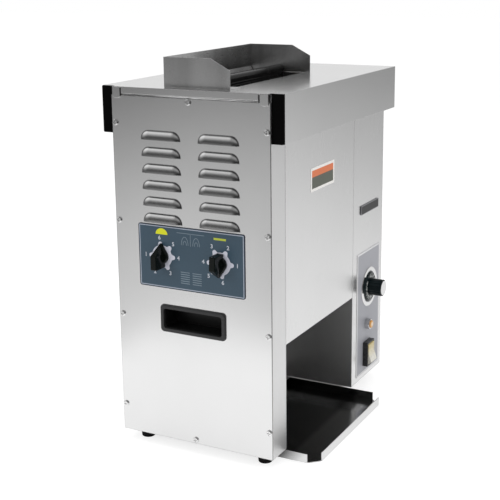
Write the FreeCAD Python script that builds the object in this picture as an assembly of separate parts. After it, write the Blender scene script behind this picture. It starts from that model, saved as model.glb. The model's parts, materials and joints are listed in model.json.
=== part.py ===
import FreeCAD, Part
import math
import os

os.makedirs("parts", exist_ok=True)
V = FreeCAD.Vector

# A conveyor toaster, in millimetres. While it is drawn, x runs from the body's left side,
# y from the front panel towards the rear, and z from the counter that it stands on.

# Body
BODY_W = 265.0
FRONT_D = 46.0
CHAMBER_D = 256.0
REAR_D = 134.0
FOOT_H = 18.0
REAR_LIFT = 5.0
TOP_Z = 564.0
SHEET = 1.2
PLATE_T = 1.5
FLANGE_W = 14.0
BODY_GAP = 0.3
RUN_GAP = 0.05
CUT_OVER = 20.0
HALF_TURN_DEG = 180.0

# Hood
HOOD_OVERHANG = 19.0
HOOD_SKIRT_H = 70.5
HOOD_FRONT_OUT = 1.5
HOOD_BAR_H = 10.3
HOOD_BAR_INSET = 18.0
HOOD_BAR_HEM = 1.6
HOOD_TAB_W = 13.6
HOOD_TAB_H = 17.4
HOOD_TAB_R = 4.0
CAP_LAP = 2.5
CAP_T = 3.0
CAP_BACK = 2.4
CAP_R = 2.0

# Front panel
PANEL_H = 533.0
SCREW_INSET_X = 5.6
SCREW_LOW_Z = 42.9
SCREW_PITCH_Z = 149.7
SCREW_ROWS = 4
SCREW_TOP_DROP = 5.0
SCREW_BOTTOM_RISE = 6.0
SCREW_HEAD_R = 4.6
SCREW_HEAD_H = 2.4
SCREW_SHANK_R = 2.0
SCREW_SHANK_L = 8.0
SCREW_SLOT_L = 5.6
SCREW_SLOT_W = 1.2
LOUVER_ROWS = 6
LOUVER_L = 66.3
LOUVER_H = 13.3
LOUVER_OUT = 5.0
LOUVER_END = 12.5
LOUVER_PITCH = 24.95
LOUVER_TOP_DROP = 50.0
LOUVER_COLUMN_PITCH = 97.2

# Recessed handle
HANDLE_W = 113.0
HANDLE_H = 43.4
HANDLE_DROP = 26.0
HANDLE_BORDER = 6.0
HANDLE_LIP = 3.2
HANDLE_DEEP = 36.0
HANDLE_WALL = 1.8
HANDLE_R = 6.0
HANDLE_EDGE_R = 2.2

# Compression knobs and their plate
KNOB_PLATE_DROP = 3.05
KNOB_PLATE_MARGIN = 41.0
KNOB_PLATE_UP = 48.3
KNOB_PLATE_DOWN = 49.2
KNOB_PLATE_T = 1.0
KNOB_PLATE_R = 3.5
KNOB_LIFT = 0.6
KNOB_BASE_R = 11.5
KNOB_BASE_H = 5.0
KNOB_BASE_EDGE = 1.5
KNOB_TIP_REACH = 20.5
KNOB_TIP_W = 2.0
KNOB_TIP_H = 4.0
KNOB_TAIL_REACH = 16.0
KNOB_CREST_REACH = 5.0
KNOB_GRIP_W = 10.0
KNOB_H = 25.0
KNOB_EDGE_R = 1.2
CROWN_POINTER_DEG = 90.0
HEEL_POINTER_DEG = 267.0
KNOB_TURN_DEG = 270.0

# Conveyor loops: rollers, belts, gears
CROWN_X = 81.5
GEAR_MODULE = 2.0
GEAR_TEETH = 50
GEAR_W = 8.0
GEAR_HUB_R = 9.0
GEAR_HUB_L = 12.0
GEAR_BACKLASH = 0.5
GEAR_ROOT_SHARE = 1.25
GEAR_WEB_HOLES = 5
GEAR_WEB_HOLE_R = 10.0
PRESSURE_DEG = 20.0
PINION_TEETH = 20
PINION_DIR_DEG = 240.0
DRIVE_RISE = 194.0
IDLER_RISE = 497.0
ROLLER_R = 18.0
ROLLER_END_GAP = 14.0
SHAFT_R = 5.0
SHAFT_FRONT_OUT = 8.0
SHAFT_REAR_OUT = 4.0
BELT_T = 1.2
BELT_END_GAP = 16.0
BUSH_WALL = 3.0
BUSH_FLANGE_R = 10.5
BUSH_FLANGE_T = 2.0
BUSH_OUT = 2.0

# Platen and heater
CROWN_GAP = 26.0
PLATEN_T = 16.0
PLATEN_FACE_T = 6.0
PLATEN_DROP = 14.0
PLATEN_BELOW_TOP = 18.0
PLATEN_END_GAP = 12.0
END_BAR_D = 22.0
HEATER_R = 1.9
HEATER_RUNS = 6
RELEASE_T = 0.5
DIVIDER_PROUD = 11.0
DIVIDER_SIDE = 1.5
DIVIDER_TOP_R = 6.0
DIVIDER_GROOVE_R = 1.0
DIVIDER_GROOVE_PITCH = 4.0

# Compression plates and cams
COMPRESS_TRAVEL = 10.0
COMPRESS_T = 1.5
COMPRESS_BOTTOM_RISE = 30.0
COMPRESS_TOP_DROP = 32.0
COMPRESS_TAB_H = 12.0
COMPRESS_TAB_INSET = 28.0
COMPRESS_TAB_OUT = 1.5
CAM_W = 8.0
CAM_INSET = 28.0
CAM_STEPS = 24

# Hood slot and bun feeder
SLOT_LEFT_OUT = 2.5
SLOT_RIGHT_IN = 0.5
SLOT_FRONT_GAP = 3.0
SLOT_REAR_GAP = 15.0
FEEDER_SHEET = 1.2
FEEDER_L_MARGIN = 2.0
FEEDER_R_MARGIN = 11.0
FEEDER_FRONT_OUT = 31.6
FEEDER_REAR_OUT = 2.0
FEEDER_H = 44.0
FEEDER_LOW_H = 27.5
FEEDER_CHAMFER_L = 32.0
FEEDER_GUIDE_UP = 6.0
FEEDER_GUIDE_DOWN = 5.0
FEEDER_GUIDE_IN = 8.0

# Side cover, chamber and chute
SIDE_OPEN_RISE = 167.0
SHIELD_GAP = 27.0
SHIELD_RISE = 4.0
TIE_W = 16.0
TIE_H = 22.0
CHUTE_LEFT_X = 40.0
CHUTE_TOP_RISE = 186.0
CHUTE_SLOPE_DEG = 52.0
CHUTE_END_X = 148.0
CHUTE_END_RISE = 3.0
CHUTE_BEND_R = 24.0
CHUTE_FLAT_L = 12.0
RAIL_W = 16.5
RAIL_H = 22.0
RAIL_STOP_DROP = 13.0

# Landing tray
TRAY_OUT = 50.8
TRAY_FRONT_GAP = 2.5
TRAY_REAR_LAP = 16.4
TRAY_LIP_H = 14.3
TRAY_CHAMFER_X = 17.3
TRAY_CHAMFER_Y = 16.5

# Control housing and its controls
LABEL_Y = 20.0
LABEL_W = 102.5
LABEL_RISE = 14.0
LABEL_T = 0.8
LABEL_R = 1.6
DIAL_Y = 73.5
DIAL_ABOVE_LAMP = 65.5
DIAL_BELOW_LABEL_TOP = 68.5
DIAL_RING_R = 35.0
DIAL_RING_IN_R = 27.5
DIAL_RING_T = 1.6
SKIRT_R = 26.5
SKIRT_T = 3.0
DIAL_KNOB_R = 14.5
DIAL_KNOB_H = 27.0
DIAL_FLUTES = 18
DIAL_FLUTE_R = 1.3
DIAL_CAP_R = 12.5
DIAL_CAP_T = 1.2
DIAL_SHAFT_R = 3.0
STAT_W = 36.0
STAT_D = 28.0
LAMP_Y = 64.0
LAMP_ABOVE_SWITCH = 53.0
LAMP_R = 9.5
LAMP_OUT = 8.5
LAMP_LENS_R = 7.0
LAMP_LENS_OUT = 2.5
LAMP_LENS_EDGE_R = 2.0
LAMP_BARREL_R = 6.5
LAMP_BARREL_L = 26.0
SWITCH_Y = 64.5
SWITCH_ABOVE_LABEL_BASE = 35.0
SWITCH_W = 32.0
SWITCH_H = 44.0
SWITCH_OUT = 9.0
SWITCH_BODY_D = 24.0
SWITCH_R = 2.4
ROCKER_R = 19.0
ROCKER_W = 26.0
ROCKER_PIVOT_OUT = 3.0
ROCKER_FACE_OUT = 8.0
ROCKER_TILT_DEG = 10.0
ROCKER_PIN_R = 1.5

# Badge and sticker on the right side
BADGE_Y = 31.7
BADGE_W = 79.0
BADGE_RISE = 303.0
BADGE_H = 16.0
BADGE_T = 2.0
BADGE_R = 2.0
BADGE_EDGE_R = 0.5
STICKER_Y = 86.7
STICKER_W = 88.2
STICKER_RISE = 381.7
STICKER_H = 36.7
STICKER_T = 0.4
STICKER_R = 1.6

# Rear panel, fan, motor, wiring entry
REAR_LOUVER_ROWS = 5
REAR_LOUVER_TOP = 250.0
FAN_W = 80.0
FAN_D = 25.0
FAN_FROM_RIGHT = 85.0
FAN_RISE = 412.0
FAN_DUCT_R = 37.0
FAN_HUB_R = 15.0
FAN_BLADES = 7
FAN_TIP_GAP = 1.5
FAN_PIN_R = 2.0
FAN_BLADE_T = 1.6
FAN_BLADE_W = 15.0
FAN_BLADE_PITCH_DEG = 40.0
FAN_SPOKE_T = 4.0
FAN_CORNER_R = 4.0
GRILLE_RINGS = 4
GRILLE_SLOT_W = 5.0
GRILLE_RIB_W = 3.0
MOTOR_R = 26.0
MOTOR_L = 50.0
GEARBOX_W = 62.0
GEARBOX_H = 56.0
GEARBOX_D = 32.0
GEARBOX_R = 8.0
MOTOR_EDGE_R = 4.0
MOTOR_PLATE_GAP = 3.2
MOTOR_STANDOFF_R = 4.0
MOTOR_SHAFT_R = 4.0
GLAND_X = 60.0
GLAND_RISE = 42.0
GLAND_R = 10.0
GLAND_HEX_R = 13.5
GLAND_TIP_R = 8.0
GLAND_BORE_R = 4.5
GLAND_OUT = 14.0
GLAND_IN = 12.0

# Feet
FOOT_TOP_R = 12.5
FOOT_BOTTOM_R = 10.5
FOOT_IN_X = 27.0
FOOT_IN_Y = 28.0
REAR_FOOT_IN_X = 60.0
FOOT_STUD_R = 3.0
FOOT_STUD_UP = 5.0
FOOT_NUT_R = 6.0
FOOT_NUT_H = 3.6
HEX_SIDES = 6

# Places that follow from the sizes above
BASE_Z = FOOT_H
REAR_BASE_Z = FOOT_H + REAR_LIFT
HOOD_UNDER_Z = TOP_Z - SHEET
PANEL_TOP_Z = BASE_Z + PANEL_H
CHAMBER_Y0 = FRONT_D
CHAMBER_Y1 = FRONT_D + CHAMBER_D
BODY_D = FRONT_D + CHAMBER_D + REAR_D
REAR_Y0 = CHAMBER_Y1 + PLATE_T
REAR_Y1 = BODY_D - SHEET
HEEL_X = CROWN_X + GEAR_MODULE * GEAR_TEETH
DRIVE_Z = BASE_Z + DRIVE_RISE
IDLER_Z = BASE_Z + IDLER_RISE
LOUVER_TOP_Z = PANEL_TOP_Z - LOUVER_TOP_DROP
LOUVER_LOW_Z = LOUVER_TOP_Z - (LOUVER_ROWS - 1) * LOUVER_PITCH - LOUVER_H
KNOB_PLATE_Z1 = LOUVER_LOW_Z - KNOB_PLATE_DROP
KNOB_Z = KNOB_PLATE_Z1 - KNOB_PLATE_UP
KNOB_PLATE_Z0 = KNOB_Z - KNOB_PLATE_DOWN
BELT_IN_R = ROLLER_R + BODY_GAP
BELT_OUT_R = BELT_IN_R + BELT_T
PLATEN_X0 = CROWN_X + BELT_OUT_R + CROWN_GAP
PLATEN_X1 = PLATEN_X0 + PLATEN_T
PLATEN_Z0 = DRIVE_Z - PLATEN_DROP
PLATEN_Z1 = TOP_Z - PLATEN_BELOW_TOP
BELT_Y0 = CHAMBER_Y0 + BELT_END_GAP
BELT_Y1 = CHAMBER_Y1 - BELT_END_GAP
ROLLER_Y0 = CHAMBER_Y0 + ROLLER_END_GAP
ROLLER_Y1 = CHAMBER_Y1 - ROLLER_END_GAP
SHAFT_Y0 = CHAMBER_Y0 - SHAFT_FRONT_OUT
SHAFT_Y1 = CHAMBER_Y1 + SHAFT_REAR_OUT
BUSH_R = SHAFT_R + RUN_GAP + BUSH_WALL
GEAR_Y0 = SHAFT_Y1 + BODY_GAP
PINION_DIST = GEAR_MODULE * (GEAR_TEETH + PINION_TEETH) / 2
PINION_X = CROWN_X + PINION_DIST * math.cos(math.radians(PINION_DIR_DEG))
PINION_Z = DRIVE_Z + PINION_DIST * math.sin(math.radians(PINION_DIR_DEG))
SLOT_X0 = CROWN_X + SLOT_LEFT_OUT
SLOT_X1 = HEEL_X - SLOT_RIGHT_IN
SLOT_Y0 = CHAMBER_Y0 + SLOT_FRONT_GAP
SLOT_Y1 = CHAMBER_Y1 - SLOT_REAR_GAP
FEEDER_X0 = SLOT_X0 - FEEDER_L_MARGIN
FEEDER_X1 = SLOT_X1 + FEEDER_R_MARGIN
FEEDER_Y0 = SLOT_Y0 - FEEDER_FRONT_OUT
FEEDER_Y1 = SLOT_Y1 + FEEDER_REAR_OUT
COMPRESS_Z0 = DRIVE_Z + COMPRESS_BOTTOM_RISE
COMPRESS_Z1 = IDLER_Z - COMPRESS_TOP_DROP
COMPRESS_NEAR = BELT_IN_R - BODY_GAP
COMPRESS_BACK = COMPRESS_NEAR - COMPRESS_T
CAM_REACH = COMPRESS_BACK - BODY_GAP
SIDE_OPEN_Z = BASE_Z + SIDE_OPEN_RISE
TRAY_X0 = RAIL_W + SHEET + BODY_GAP
TRAY_X1 = BODY_W + TRAY_OUT
TRAY_Y0 = CHAMBER_Y0 + TRAY_FRONT_GAP
TRAY_Y1 = CHAMBER_Y1 + TRAY_REAR_LAP
CHUTE_END_Z = BASE_Z + CHUTE_END_RISE
HANDLE_X0 = (BODY_W - HANDLE_W) / 2
HANDLE_X1 = HANDLE_X0 + HANDLE_W
HANDLE_Z1 = KNOB_PLATE_Z0 - HANDLE_DROP
HANDLE_Z0 = HANDLE_Z1 - HANDLE_H
KNOB_BASE_Y = -KNOB_PLATE_T - KNOB_LIFT
KNOB_FRONT_Y = KNOB_BASE_Y - KNOB_H
LABEL_Z0 = BASE_Z + LABEL_RISE
SWITCH_CENTRE_Y = CHAMBER_Y1 + SWITCH_Y
SWITCH_CENTRE_Z = LABEL_Z0 + SWITCH_ABOVE_LABEL_BASE
LAMP_CENTRE_Y = CHAMBER_Y1 + LAMP_Y
LAMP_CENTRE_Z = SWITCH_CENTRE_Z + LAMP_ABOVE_SWITCH
DIAL_CENTRE_Y = CHAMBER_Y1 + DIAL_Y
DIAL_CENTRE_Z = LAMP_CENTRE_Z + DIAL_ABOVE_LAMP
LABEL_H = DIAL_CENTRE_Z + DIAL_BELOW_LABEL_TOP - LABEL_Z0
ROCKER_X = BODY_W + ROCKER_PIVOT_OUT
STAT_NOSE_R = DIAL_SHAFT_R + RUN_GAP + SHEET * 2
FAN_X = BODY_W - FAN_FROM_RIGHT
FAN_Z = BASE_Z + FAN_RISE
GLAND_Z = BASE_Z + GLAND_RISE
MOTOR_Y0 = GEAR_Y0 + GEAR_HUB_L + MOTOR_PLATE_GAP
FRONT_FOOT_PLACES = [(x, FOOT_IN_Y, BASE_Z) for x in (FOOT_IN_X, BODY_W - FOOT_IN_X)]
REAR_FOOT_PLACES = [(x, BODY_D - FOOT_IN_Y, REAR_BASE_Z) for x in (REAR_FOOT_IN_X, BODY_W - REAR_FOOT_IN_X)]

CAP_Y = SHEET + CAP_BACK

# The part's own origin: the middle of its footprint, on the counter
ORIGIN_X = (TRAY_X1 - HOOD_OVERHANG) / 2
ORIGIN_Y = (BODY_D + GLAND_OUT + KNOB_FRONT_Y) / 2

# Shares of a corner's radius: from the corner to the middle of its arc
ARC_MIDDLE_SHARE = 1 - math.sqrt(0.5)
X_DIR = V(1, 0, 0)
Y_DIR = V(0, 1, 0)
Z_DIR = V(0, 0, 1)


# Helpers


def box(x0, x1, y0, y1, z0, z1):
    """A block between two planes on each axis."""
    return Part.makeBox(x1 - x0, y1 - y0, z1 - z0, V(x0, y0, z0))


def rod(radius, start, axis, length):
    """A cylinder from its start, along an axis."""
    return Part.makeCylinder(radius, length, start, axis)


def tube(outer, inner, start, axis, length):
    """A hollow cylinder."""
    bore = rod(inner, start - axis * CUT_OVER, axis, length + CUT_OVER * 2)
    return rod(outer, start, axis, length).cut(bore)


def fuse(shapes):
    """One solid made of several that touch."""
    return shapes[0].multiFuse(shapes[1:]).removeSplitter()


def cut_all(shape, tools):
    """A shape with several tools taken away."""
    return shape.cut(Part.makeCompound(tools))


def rounded_plate(corner, u, v, width, height, radius, depth):
    """A flat plate on the u and v directions, with four round corners, as thick as the depth vector."""
    steps = [u, v, u * -1, v * -1]
    corners = [corner, corner + u * width, corner + u * width + v * height, corner + v * height]
    edges = []
    for i in range(len(corners)):
        before = steps[i - 1]
        after = steps[i]
        arc_in = corners[i] - before * radius
        arc_mid = corners[i] + (after - before) * (radius * ARC_MIDDLE_SHARE)
        arc_out = corners[i] + after * radius
        edges.append(Part.Arc(arc_in, arc_mid, arc_out).toShape())
        onward = corners[(i + 1) % len(corners)] - after * radius
        edges.append(Part.LineSegment(arc_out, onward).toShape())
    return Part.Face(Part.Wire(edges)).extrude(depth)


def polygon(points, depth):
    """A flat shape through some points, as thick as the depth vector."""
    return Part.Face(Part.makePolygon(points + points[:1])).extrude(depth)


def hexagon(centre, u, v, radius, depth):
    """A six-sided block on the u and v directions, as thick as the depth vector."""
    points = []
    for i in range(HEX_SIDES):
        angle = math.pi * 2 * i / HEX_SIDES
        points.append(centre + (u * math.cos(angle) + v * math.sin(angle)) * radius)
    return polygon(points, depth)


def polar(centre_x, centre_z, radius, angle, y):
    """A point round a shaft that runs front to back; the angle is in radians from +x."""
    return V(centre_x + radius * math.cos(angle), y, centre_z + radius * math.sin(angle))


def pan_screw(head_seat, out):
    """A pan-head screw: its head stands out of the seat, its shank goes in."""
    head = rod(SCREW_HEAD_R, head_seat, out, SCREW_HEAD_H)
    far = SCREW_HEAD_H / 2
    rim = [e for e in head.Edges if e.Closed and e.CenterOfMass.distanceToPoint(head_seat) > far]
    head = head.makeFillet(far, rim)
    shank = rod(SCREW_SHANK_R, head_seat - out * SCREW_SHANK_L, out, SCREW_SHANK_L)
    half_w = SCREW_SLOT_W / 2
    half_l = SCREW_SLOT_L / 2
    half_h = SCREW_HEAD_H / 2
    top = head_seat + out * SCREW_HEAD_H
    across = box(-half_l, half_l, -half_h, half_h, -half_w, half_w)
    down = box(-half_w, half_w, -half_h, half_h, -half_l, half_l)
    for bar in (across, down):
        bar.translate(top)
    return cut_all(fuse([head, shank]), [across, down])


def louver_bulge(inset):
    """A long round-ended bulge, flatter than it is high: a rod on x with half an egg at each end."""
    half = LOUVER_L / 2 - LOUVER_END
    radius = LOUVER_H - inset
    depth_share = (LOUVER_OUT - inset) / radius
    flatten = FreeCAD.Matrix()
    flatten.scale(1, depth_share, 1)
    squeeze = FreeCAD.Matrix()
    squeeze.scale((LOUVER_END - inset) / radius, depth_share, 1)
    egg = Part.makeSphere(radius).transformGeometry(squeeze)
    bulge = rod(radius, V(-half, 0, 0), X_DIR, half * 2).transformGeometry(flatten)
    return bulge.fuse(egg.translated(V(-half, 0, 0))).fuse(egg.translated(V(half, 0, 0)))


def louver():
    """The hood of one louver, out to -y from a sheet at y 0 and open at z 0, and the hollow behind it."""
    outer = louver_bulge(0)
    inner = louver_bulge(SHEET)
    above = box(-LOUVER_L, LOUVER_L, -CUT_OVER, 0, 0, LOUVER_H + CUT_OVER)
    room = box(-LOUVER_L, LOUVER_L, -CUT_OVER, CUT_OVER, 0, LOUVER_H + CUT_OVER)
    return outer.common(above).cut(inner), inner.common(room)


def add_louvers(panel, x_middles, tops, face_y, turn_deg):
    """Hooded louvers, open below, pressed out of a panel; turned half round they face the rear."""
    hood_shell, hollow = [shape.rotated(V(0, 0, 0), Z_DIR, turn_deg) for shape in louver()]
    places = [V(x, face_y, top - LOUVER_H) for x in x_middles for top in tops]
    panel = cut_all(panel, [hollow.translated(p) for p in places])
    return fuse([panel] + [hood_shell.translated(p) for p in places])


# Front


def screw_columns(y, rows):
    """Screw places down both edges of a panel."""
    places = []
    for i in range(rows):
        z = BASE_Z + SCREW_LOW_Z + i * SCREW_PITCH_Z
        places.append(V(SCREW_INSET_X, y, z))
        places.append(V(BODY_W - SCREW_INSET_X, y, z))
    return places


def front_screw_places():
    """Two columns of screws, one at the top and one at the bottom."""
    places = screw_columns(0, SCREW_ROWS)
    places.append(V(BODY_W / 2, 0, PANEL_TOP_Z - SCREW_TOP_DROP))
    places.append(V(BODY_W / 2, 0, BASE_Z + SCREW_BOTTOM_RISE))
    return places


def rear_screw_places():
    """Two shorter columns and one at the bottom; the hood's skirt covers the rest."""
    places = screw_columns(BODY_D, SCREW_ROWS - 1)
    places.append(V(BODY_W / 2, BODY_D, REAR_BASE_Z + SCREW_BOTTOM_RISE))
    return places


def skirt_screw_places():
    """Screws through the hood's rear skirt and the rear panel."""
    z = TOP_Z - HOOD_SKIRT_H / 2
    return [V(x, BODY_D + SHEET, z) for x in (SCREW_INSET_X, BODY_W - SCREW_INSET_X)]


def screw_holes(places):
    """The holes that a panel's screws pass through or bite in."""
    return [rod(SCREW_SHANK_R, p - Y_DIR * CUT_OVER, Y_DIR, CUT_OVER * 2) for p in places]


def front_panel():
    panel = box(0, BODY_W, 0, SHEET, BASE_Z, PANEL_TOP_Z)
    pocket = box(HANDLE_X0 + HANDLE_BORDER - HANDLE_WALL, HANDLE_X1 - HANDLE_BORDER + HANDLE_WALL,
                 -CUT_OVER, CUT_OVER,
                 HANDLE_Z0 + HANDLE_BORDER - HANDLE_WALL, HANDLE_Z1 - HANDLE_BORDER + HANDLE_WALL)
    holes = screw_holes(front_screw_places())
    for x in (CROWN_X, HEEL_X):
        holes.append(rod(SHAFT_R + BODY_GAP, V(x, -CUT_OVER, KNOB_Z), Y_DIR, CUT_OVER * 2))
    panel = cut_all(panel, holes + [pocket])
    middles = [BODY_W / 2 - LOUVER_COLUMN_PITCH / 2, BODY_W / 2 + LOUVER_COLUMN_PITCH / 2]
    tops = [LOUVER_TOP_Z - i * LOUVER_PITCH for i in range(LOUVER_ROWS)]
    return add_louvers(panel, middles, tops, 0, 0)


def front_panel_screws():
    return [pan_screw(p, Y_DIR * -1) for p in front_screw_places()]


def recessed_handle():
    """A moulded finger pocket with a rounded rim that stands on the front panel."""
    rim = rounded_plate(V(HANDLE_X0, 0, HANDLE_Z0), X_DIR, Z_DIR, HANDLE_W, HANDLE_H, HANDLE_R,
                        Y_DIR * -HANDLE_LIP)
    front = [e for e in rim.Edges if abs(e.BoundBox.YMin + HANDLE_LIP) < SHEET / 2
             and abs(e.BoundBox.YMax + HANDLE_LIP) < SHEET / 2]
    rim = rim.makeFillet(HANDLE_EDGE_R, front)
    x0 = HANDLE_X0 + HANDLE_BORDER
    x1 = HANDLE_X1 - HANDLE_BORDER
    z0 = HANDLE_Z0 + HANDLE_BORDER
    z1 = HANDLE_Z1 - HANDLE_BORDER
    shell = box(x0 - HANDLE_WALL, x1 + HANDLE_WALL, 0, HANDLE_DEEP, z0 - HANDLE_WALL, z1 + HANDLE_WALL)
    hollow = rounded_plate(V(x0, -CUT_OVER, z0), X_DIR, Z_DIR, x1 - x0, z1 - z0, HANDLE_R - HANDLE_WALL,
                           Y_DIR * (CUT_OVER + HANDLE_DEEP - HANDLE_WALL))
    return fuse([rim, shell]).cut(hollow)


def knob_plate():
    x0 = CROWN_X - KNOB_PLATE_MARGIN
    x1 = HEEL_X + KNOB_PLATE_MARGIN
    plate = rounded_plate(V(x0, 0, KNOB_PLATE_Z0), X_DIR, Z_DIR, x1 - x0, KNOB_PLATE_Z1 - KNOB_PLATE_Z0,
                          KNOB_PLATE_R, Y_DIR * -KNOB_PLATE_T)
    holes = [rod(SHAFT_R + BODY_GAP, V(x, -CUT_OVER, KNOB_Z), Y_DIR, CUT_OVER * 2) for x in (CROWN_X, HEEL_X)]
    return cut_all(plate, holes)


def compression_knob(x, pointer_deg):
    """A drop-shaped foot with an upright grip that slopes to a point; it points along pointer_deg at rest."""
    half = KNOB_GRIP_W / 2
    tip = KNOB_TIP_W / 2
    disc = rod(KNOB_BASE_R, V(0, 0, 0), Y_DIR * -1, KNOB_BASE_H)
    shoulder = KNOB_BASE_R * math.sqrt(1 - (KNOB_BASE_R / KNOB_TIP_REACH) ** 2)
    shoulder_x = KNOB_BASE_R ** 2 / KNOB_TIP_REACH
    drop = polygon([V(shoulder_x, 0, -shoulder), V(KNOB_TIP_REACH, 0, -tip), V(KNOB_TIP_REACH, 0, tip),
                    V(shoulder_x, 0, shoulder), V(0, 0, 0)], Y_DIR * -KNOB_BASE_H)
    foot = fuse([disc, drop])
    rim = [e for e in foot.Edges if e.BoundBox.YMax < KNOB_EDGE_R - KNOB_BASE_H]
    foot = foot.makeChamfer(KNOB_BASE_EDGE, rim)
    plan = polygon([V(-KNOB_TAIL_REACH, 0, -half), V(KNOB_CREST_REACH, 0, -half), V(KNOB_TIP_REACH, 0, -tip),
                    V(KNOB_TIP_REACH, 0, tip), V(KNOB_CREST_REACH, 0, half), V(-KNOB_TAIL_REACH, 0, half)],
                   Y_DIR * -KNOB_H)
    side = polygon([V(-KNOB_TAIL_REACH, 0, -half), V(KNOB_TIP_REACH, 0, -half),
                    V(KNOB_TIP_REACH, -KNOB_TIP_H, -half), V(KNOB_CREST_REACH, -KNOB_H, -half),
                    V(-KNOB_TAIL_REACH, -KNOB_H, -half)], Z_DIR * KNOB_GRIP_W)
    grip = plan.common(side)
    front = [e for e in grip.Edges if e.BoundBox.YMax < KNOB_EDGE_R - KNOB_H]
    grip = grip.makeFillet(KNOB_EDGE_R, front)
    socket = rod(SHAFT_R - SHEET, V(0, CUT_OVER, 0), Y_DIR * -1, CUT_OVER + KNOB_H / 2)
    knob = fuse([foot, grip]).cut(socket)
    knob.rotate(V(0, 0, 0), Y_DIR, -pointer_deg)
    knob.translate(V(x, KNOB_BASE_Y, KNOB_Z))
    return knob


# Housing


def cap_room():
    """The two spaces at the hood's front corners that the end caps fill."""
    z0 = TOP_Z - HOOD_SKIRT_H
    left = box(-HOOD_OVERHANG, CAP_LAP, CAP_Y, CAP_Y + CAP_T, z0, TOP_Z)
    right = box(BODY_W - CAP_LAP, BODY_W + HOOD_OVERHANG, CAP_Y, CAP_Y + CAP_T, z0, TOP_Z)
    return [left, right]


def front_housing():
    """Sides, floor and front flange of the section behind the front panel."""
    outer = box(0, BODY_W, SHEET, FRONT_D - PLATE_T, BASE_Z, HOOD_UNDER_Z)
    inner = box(SHEET, BODY_W - SHEET, SHEET * 2, FRONT_D, BASE_Z + SHEET, HOOD_UNDER_Z)
    mouth = box(FLANGE_W, BODY_W - FLANGE_W, 0, FRONT_D, BASE_Z + FLANGE_W, PANEL_TOP_Z - FLANGE_W)
    top_cut = box(-CUT_OVER, BODY_W + CUT_OVER, 0, SHEET * 2, PANEL_TOP_Z, TOP_Z)
    feet = [foot_hole(p) for p in FRONT_FOOT_PLACES]
    shell = outer.cut(inner).cut(mouth).cut(top_cut)
    return cut_all(shell, cap_room() + screw_holes(front_screw_places()) + feet)


def foot_hole(place):
    return rod(FOOT_STUD_R, V(place[0], place[1], place[2] - FOOT_H), Z_DIR, FOOT_H * 2)


def shaft_axes():
    """Every shaft that runs between the end plates, as (x, z)."""
    axes = []
    for x in (CROWN_X, HEEL_X):
        for z in (DRIVE_Z, KNOB_Z, IDLER_Z):
            axes.append((x, z))
    return axes


def tab_heights():
    """The bottoms of the compression plates' tabs."""
    return [COMPRESS_Z0 + COMPRESS_TAB_INSET, COMPRESS_Z1 - COMPRESS_TAB_INSET - COMPRESS_TAB_H]


def tab_slots():
    """Slots in the end plates that the compression plates' tabs slide in."""
    slots = []
    for x, side in ((CROWN_X, 1), (HEEL_X, -1)):
        ends = sorted([x + side * (COMPRESS_NEAR + BODY_GAP),
                       x + side * (COMPRESS_BACK - COMPRESS_TRAVEL - BODY_GAP)])
        for z in tab_heights():
            slots.append(box(ends[0], ends[1], 0, BODY_D, z - BODY_GAP, z + COMPRESS_TAB_H + BODY_GAP))
    return slots


def end_plate(x0, x1, y0, z0):
    """One of the two plates that carry the shafts and the platen."""
    plate = box(x0, x1, y0, y0 + PLATE_T, z0, HOOD_UNDER_Z)
    holes = [rod(BUSH_R, V(x, y0 - CUT_OVER, z), Y_DIR, CUT_OVER * 2) for x, z in shaft_axes()]
    return cut_all(plate, holes + tab_slots())


def side_cover(x_out, side, z0):
    """A side cover with flanges that lie on the end plates; side is the way in, 1 or -1."""
    def span(depth):
        return sorted([x_out, x_out + side * depth])
    skin = span(SHEET)
    flange = span(FLANGE_W)
    parts = [box(skin[0], skin[1], CHAMBER_Y0, CHAMBER_Y1, z0, HOOD_UNDER_Z)]
    parts.append(box(flange[0], flange[1], CHAMBER_Y0, CHAMBER_Y0 + SHEET, z0, HOOD_UNDER_Z))
    parts.append(box(flange[0], flange[1], CHAMBER_Y1 - SHEET, CHAMBER_Y1, z0, HOOD_UNDER_Z))
    parts.append(box(flange[0], flange[1], CHAMBER_Y0, CHAMBER_Y1, z0, z0 + SHEET))
    return fuse(parts)


def control_housing():
    """Sides, floor and rear flange of the section that holds the drive and the controls."""
    outer = box(0, BODY_W, REAR_Y0, REAR_Y1, REAR_BASE_Z, HOOD_UNDER_Z)
    inner = box(SHEET, BODY_W - SHEET, 0, REAR_Y1 - SHEET, REAR_BASE_Z + SHEET, TOP_Z)
    mouth = box(FLANGE_W, BODY_W - FLANGE_W, 0, BODY_D, REAR_BASE_Z + FLANGE_W, PANEL_TOP_Z - FLANGE_W)
    shell = outer.cut(inner).cut(mouth)
    holes = [rod(LAMP_BARREL_R, V(BODY_W - CUT_OVER, LAMP_CENTRE_Y, LAMP_CENTRE_Z), X_DIR, CUT_OVER * 2)]
    holes.append(rod(STAT_NOSE_R, V(BODY_W - CUT_OVER, DIAL_CENTRE_Y, DIAL_CENTRE_Z), X_DIR, CUT_OVER * 2))
    holes.append(switch_window(BODY_W - CUT_OVER, BODY_W + CUT_OVER))
    holes += screw_holes(rear_screw_places() + skirt_screw_places())
    holes += [foot_hole(p) for p in REAR_FOOT_PLACES]
    return cut_all(shell, holes)


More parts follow.
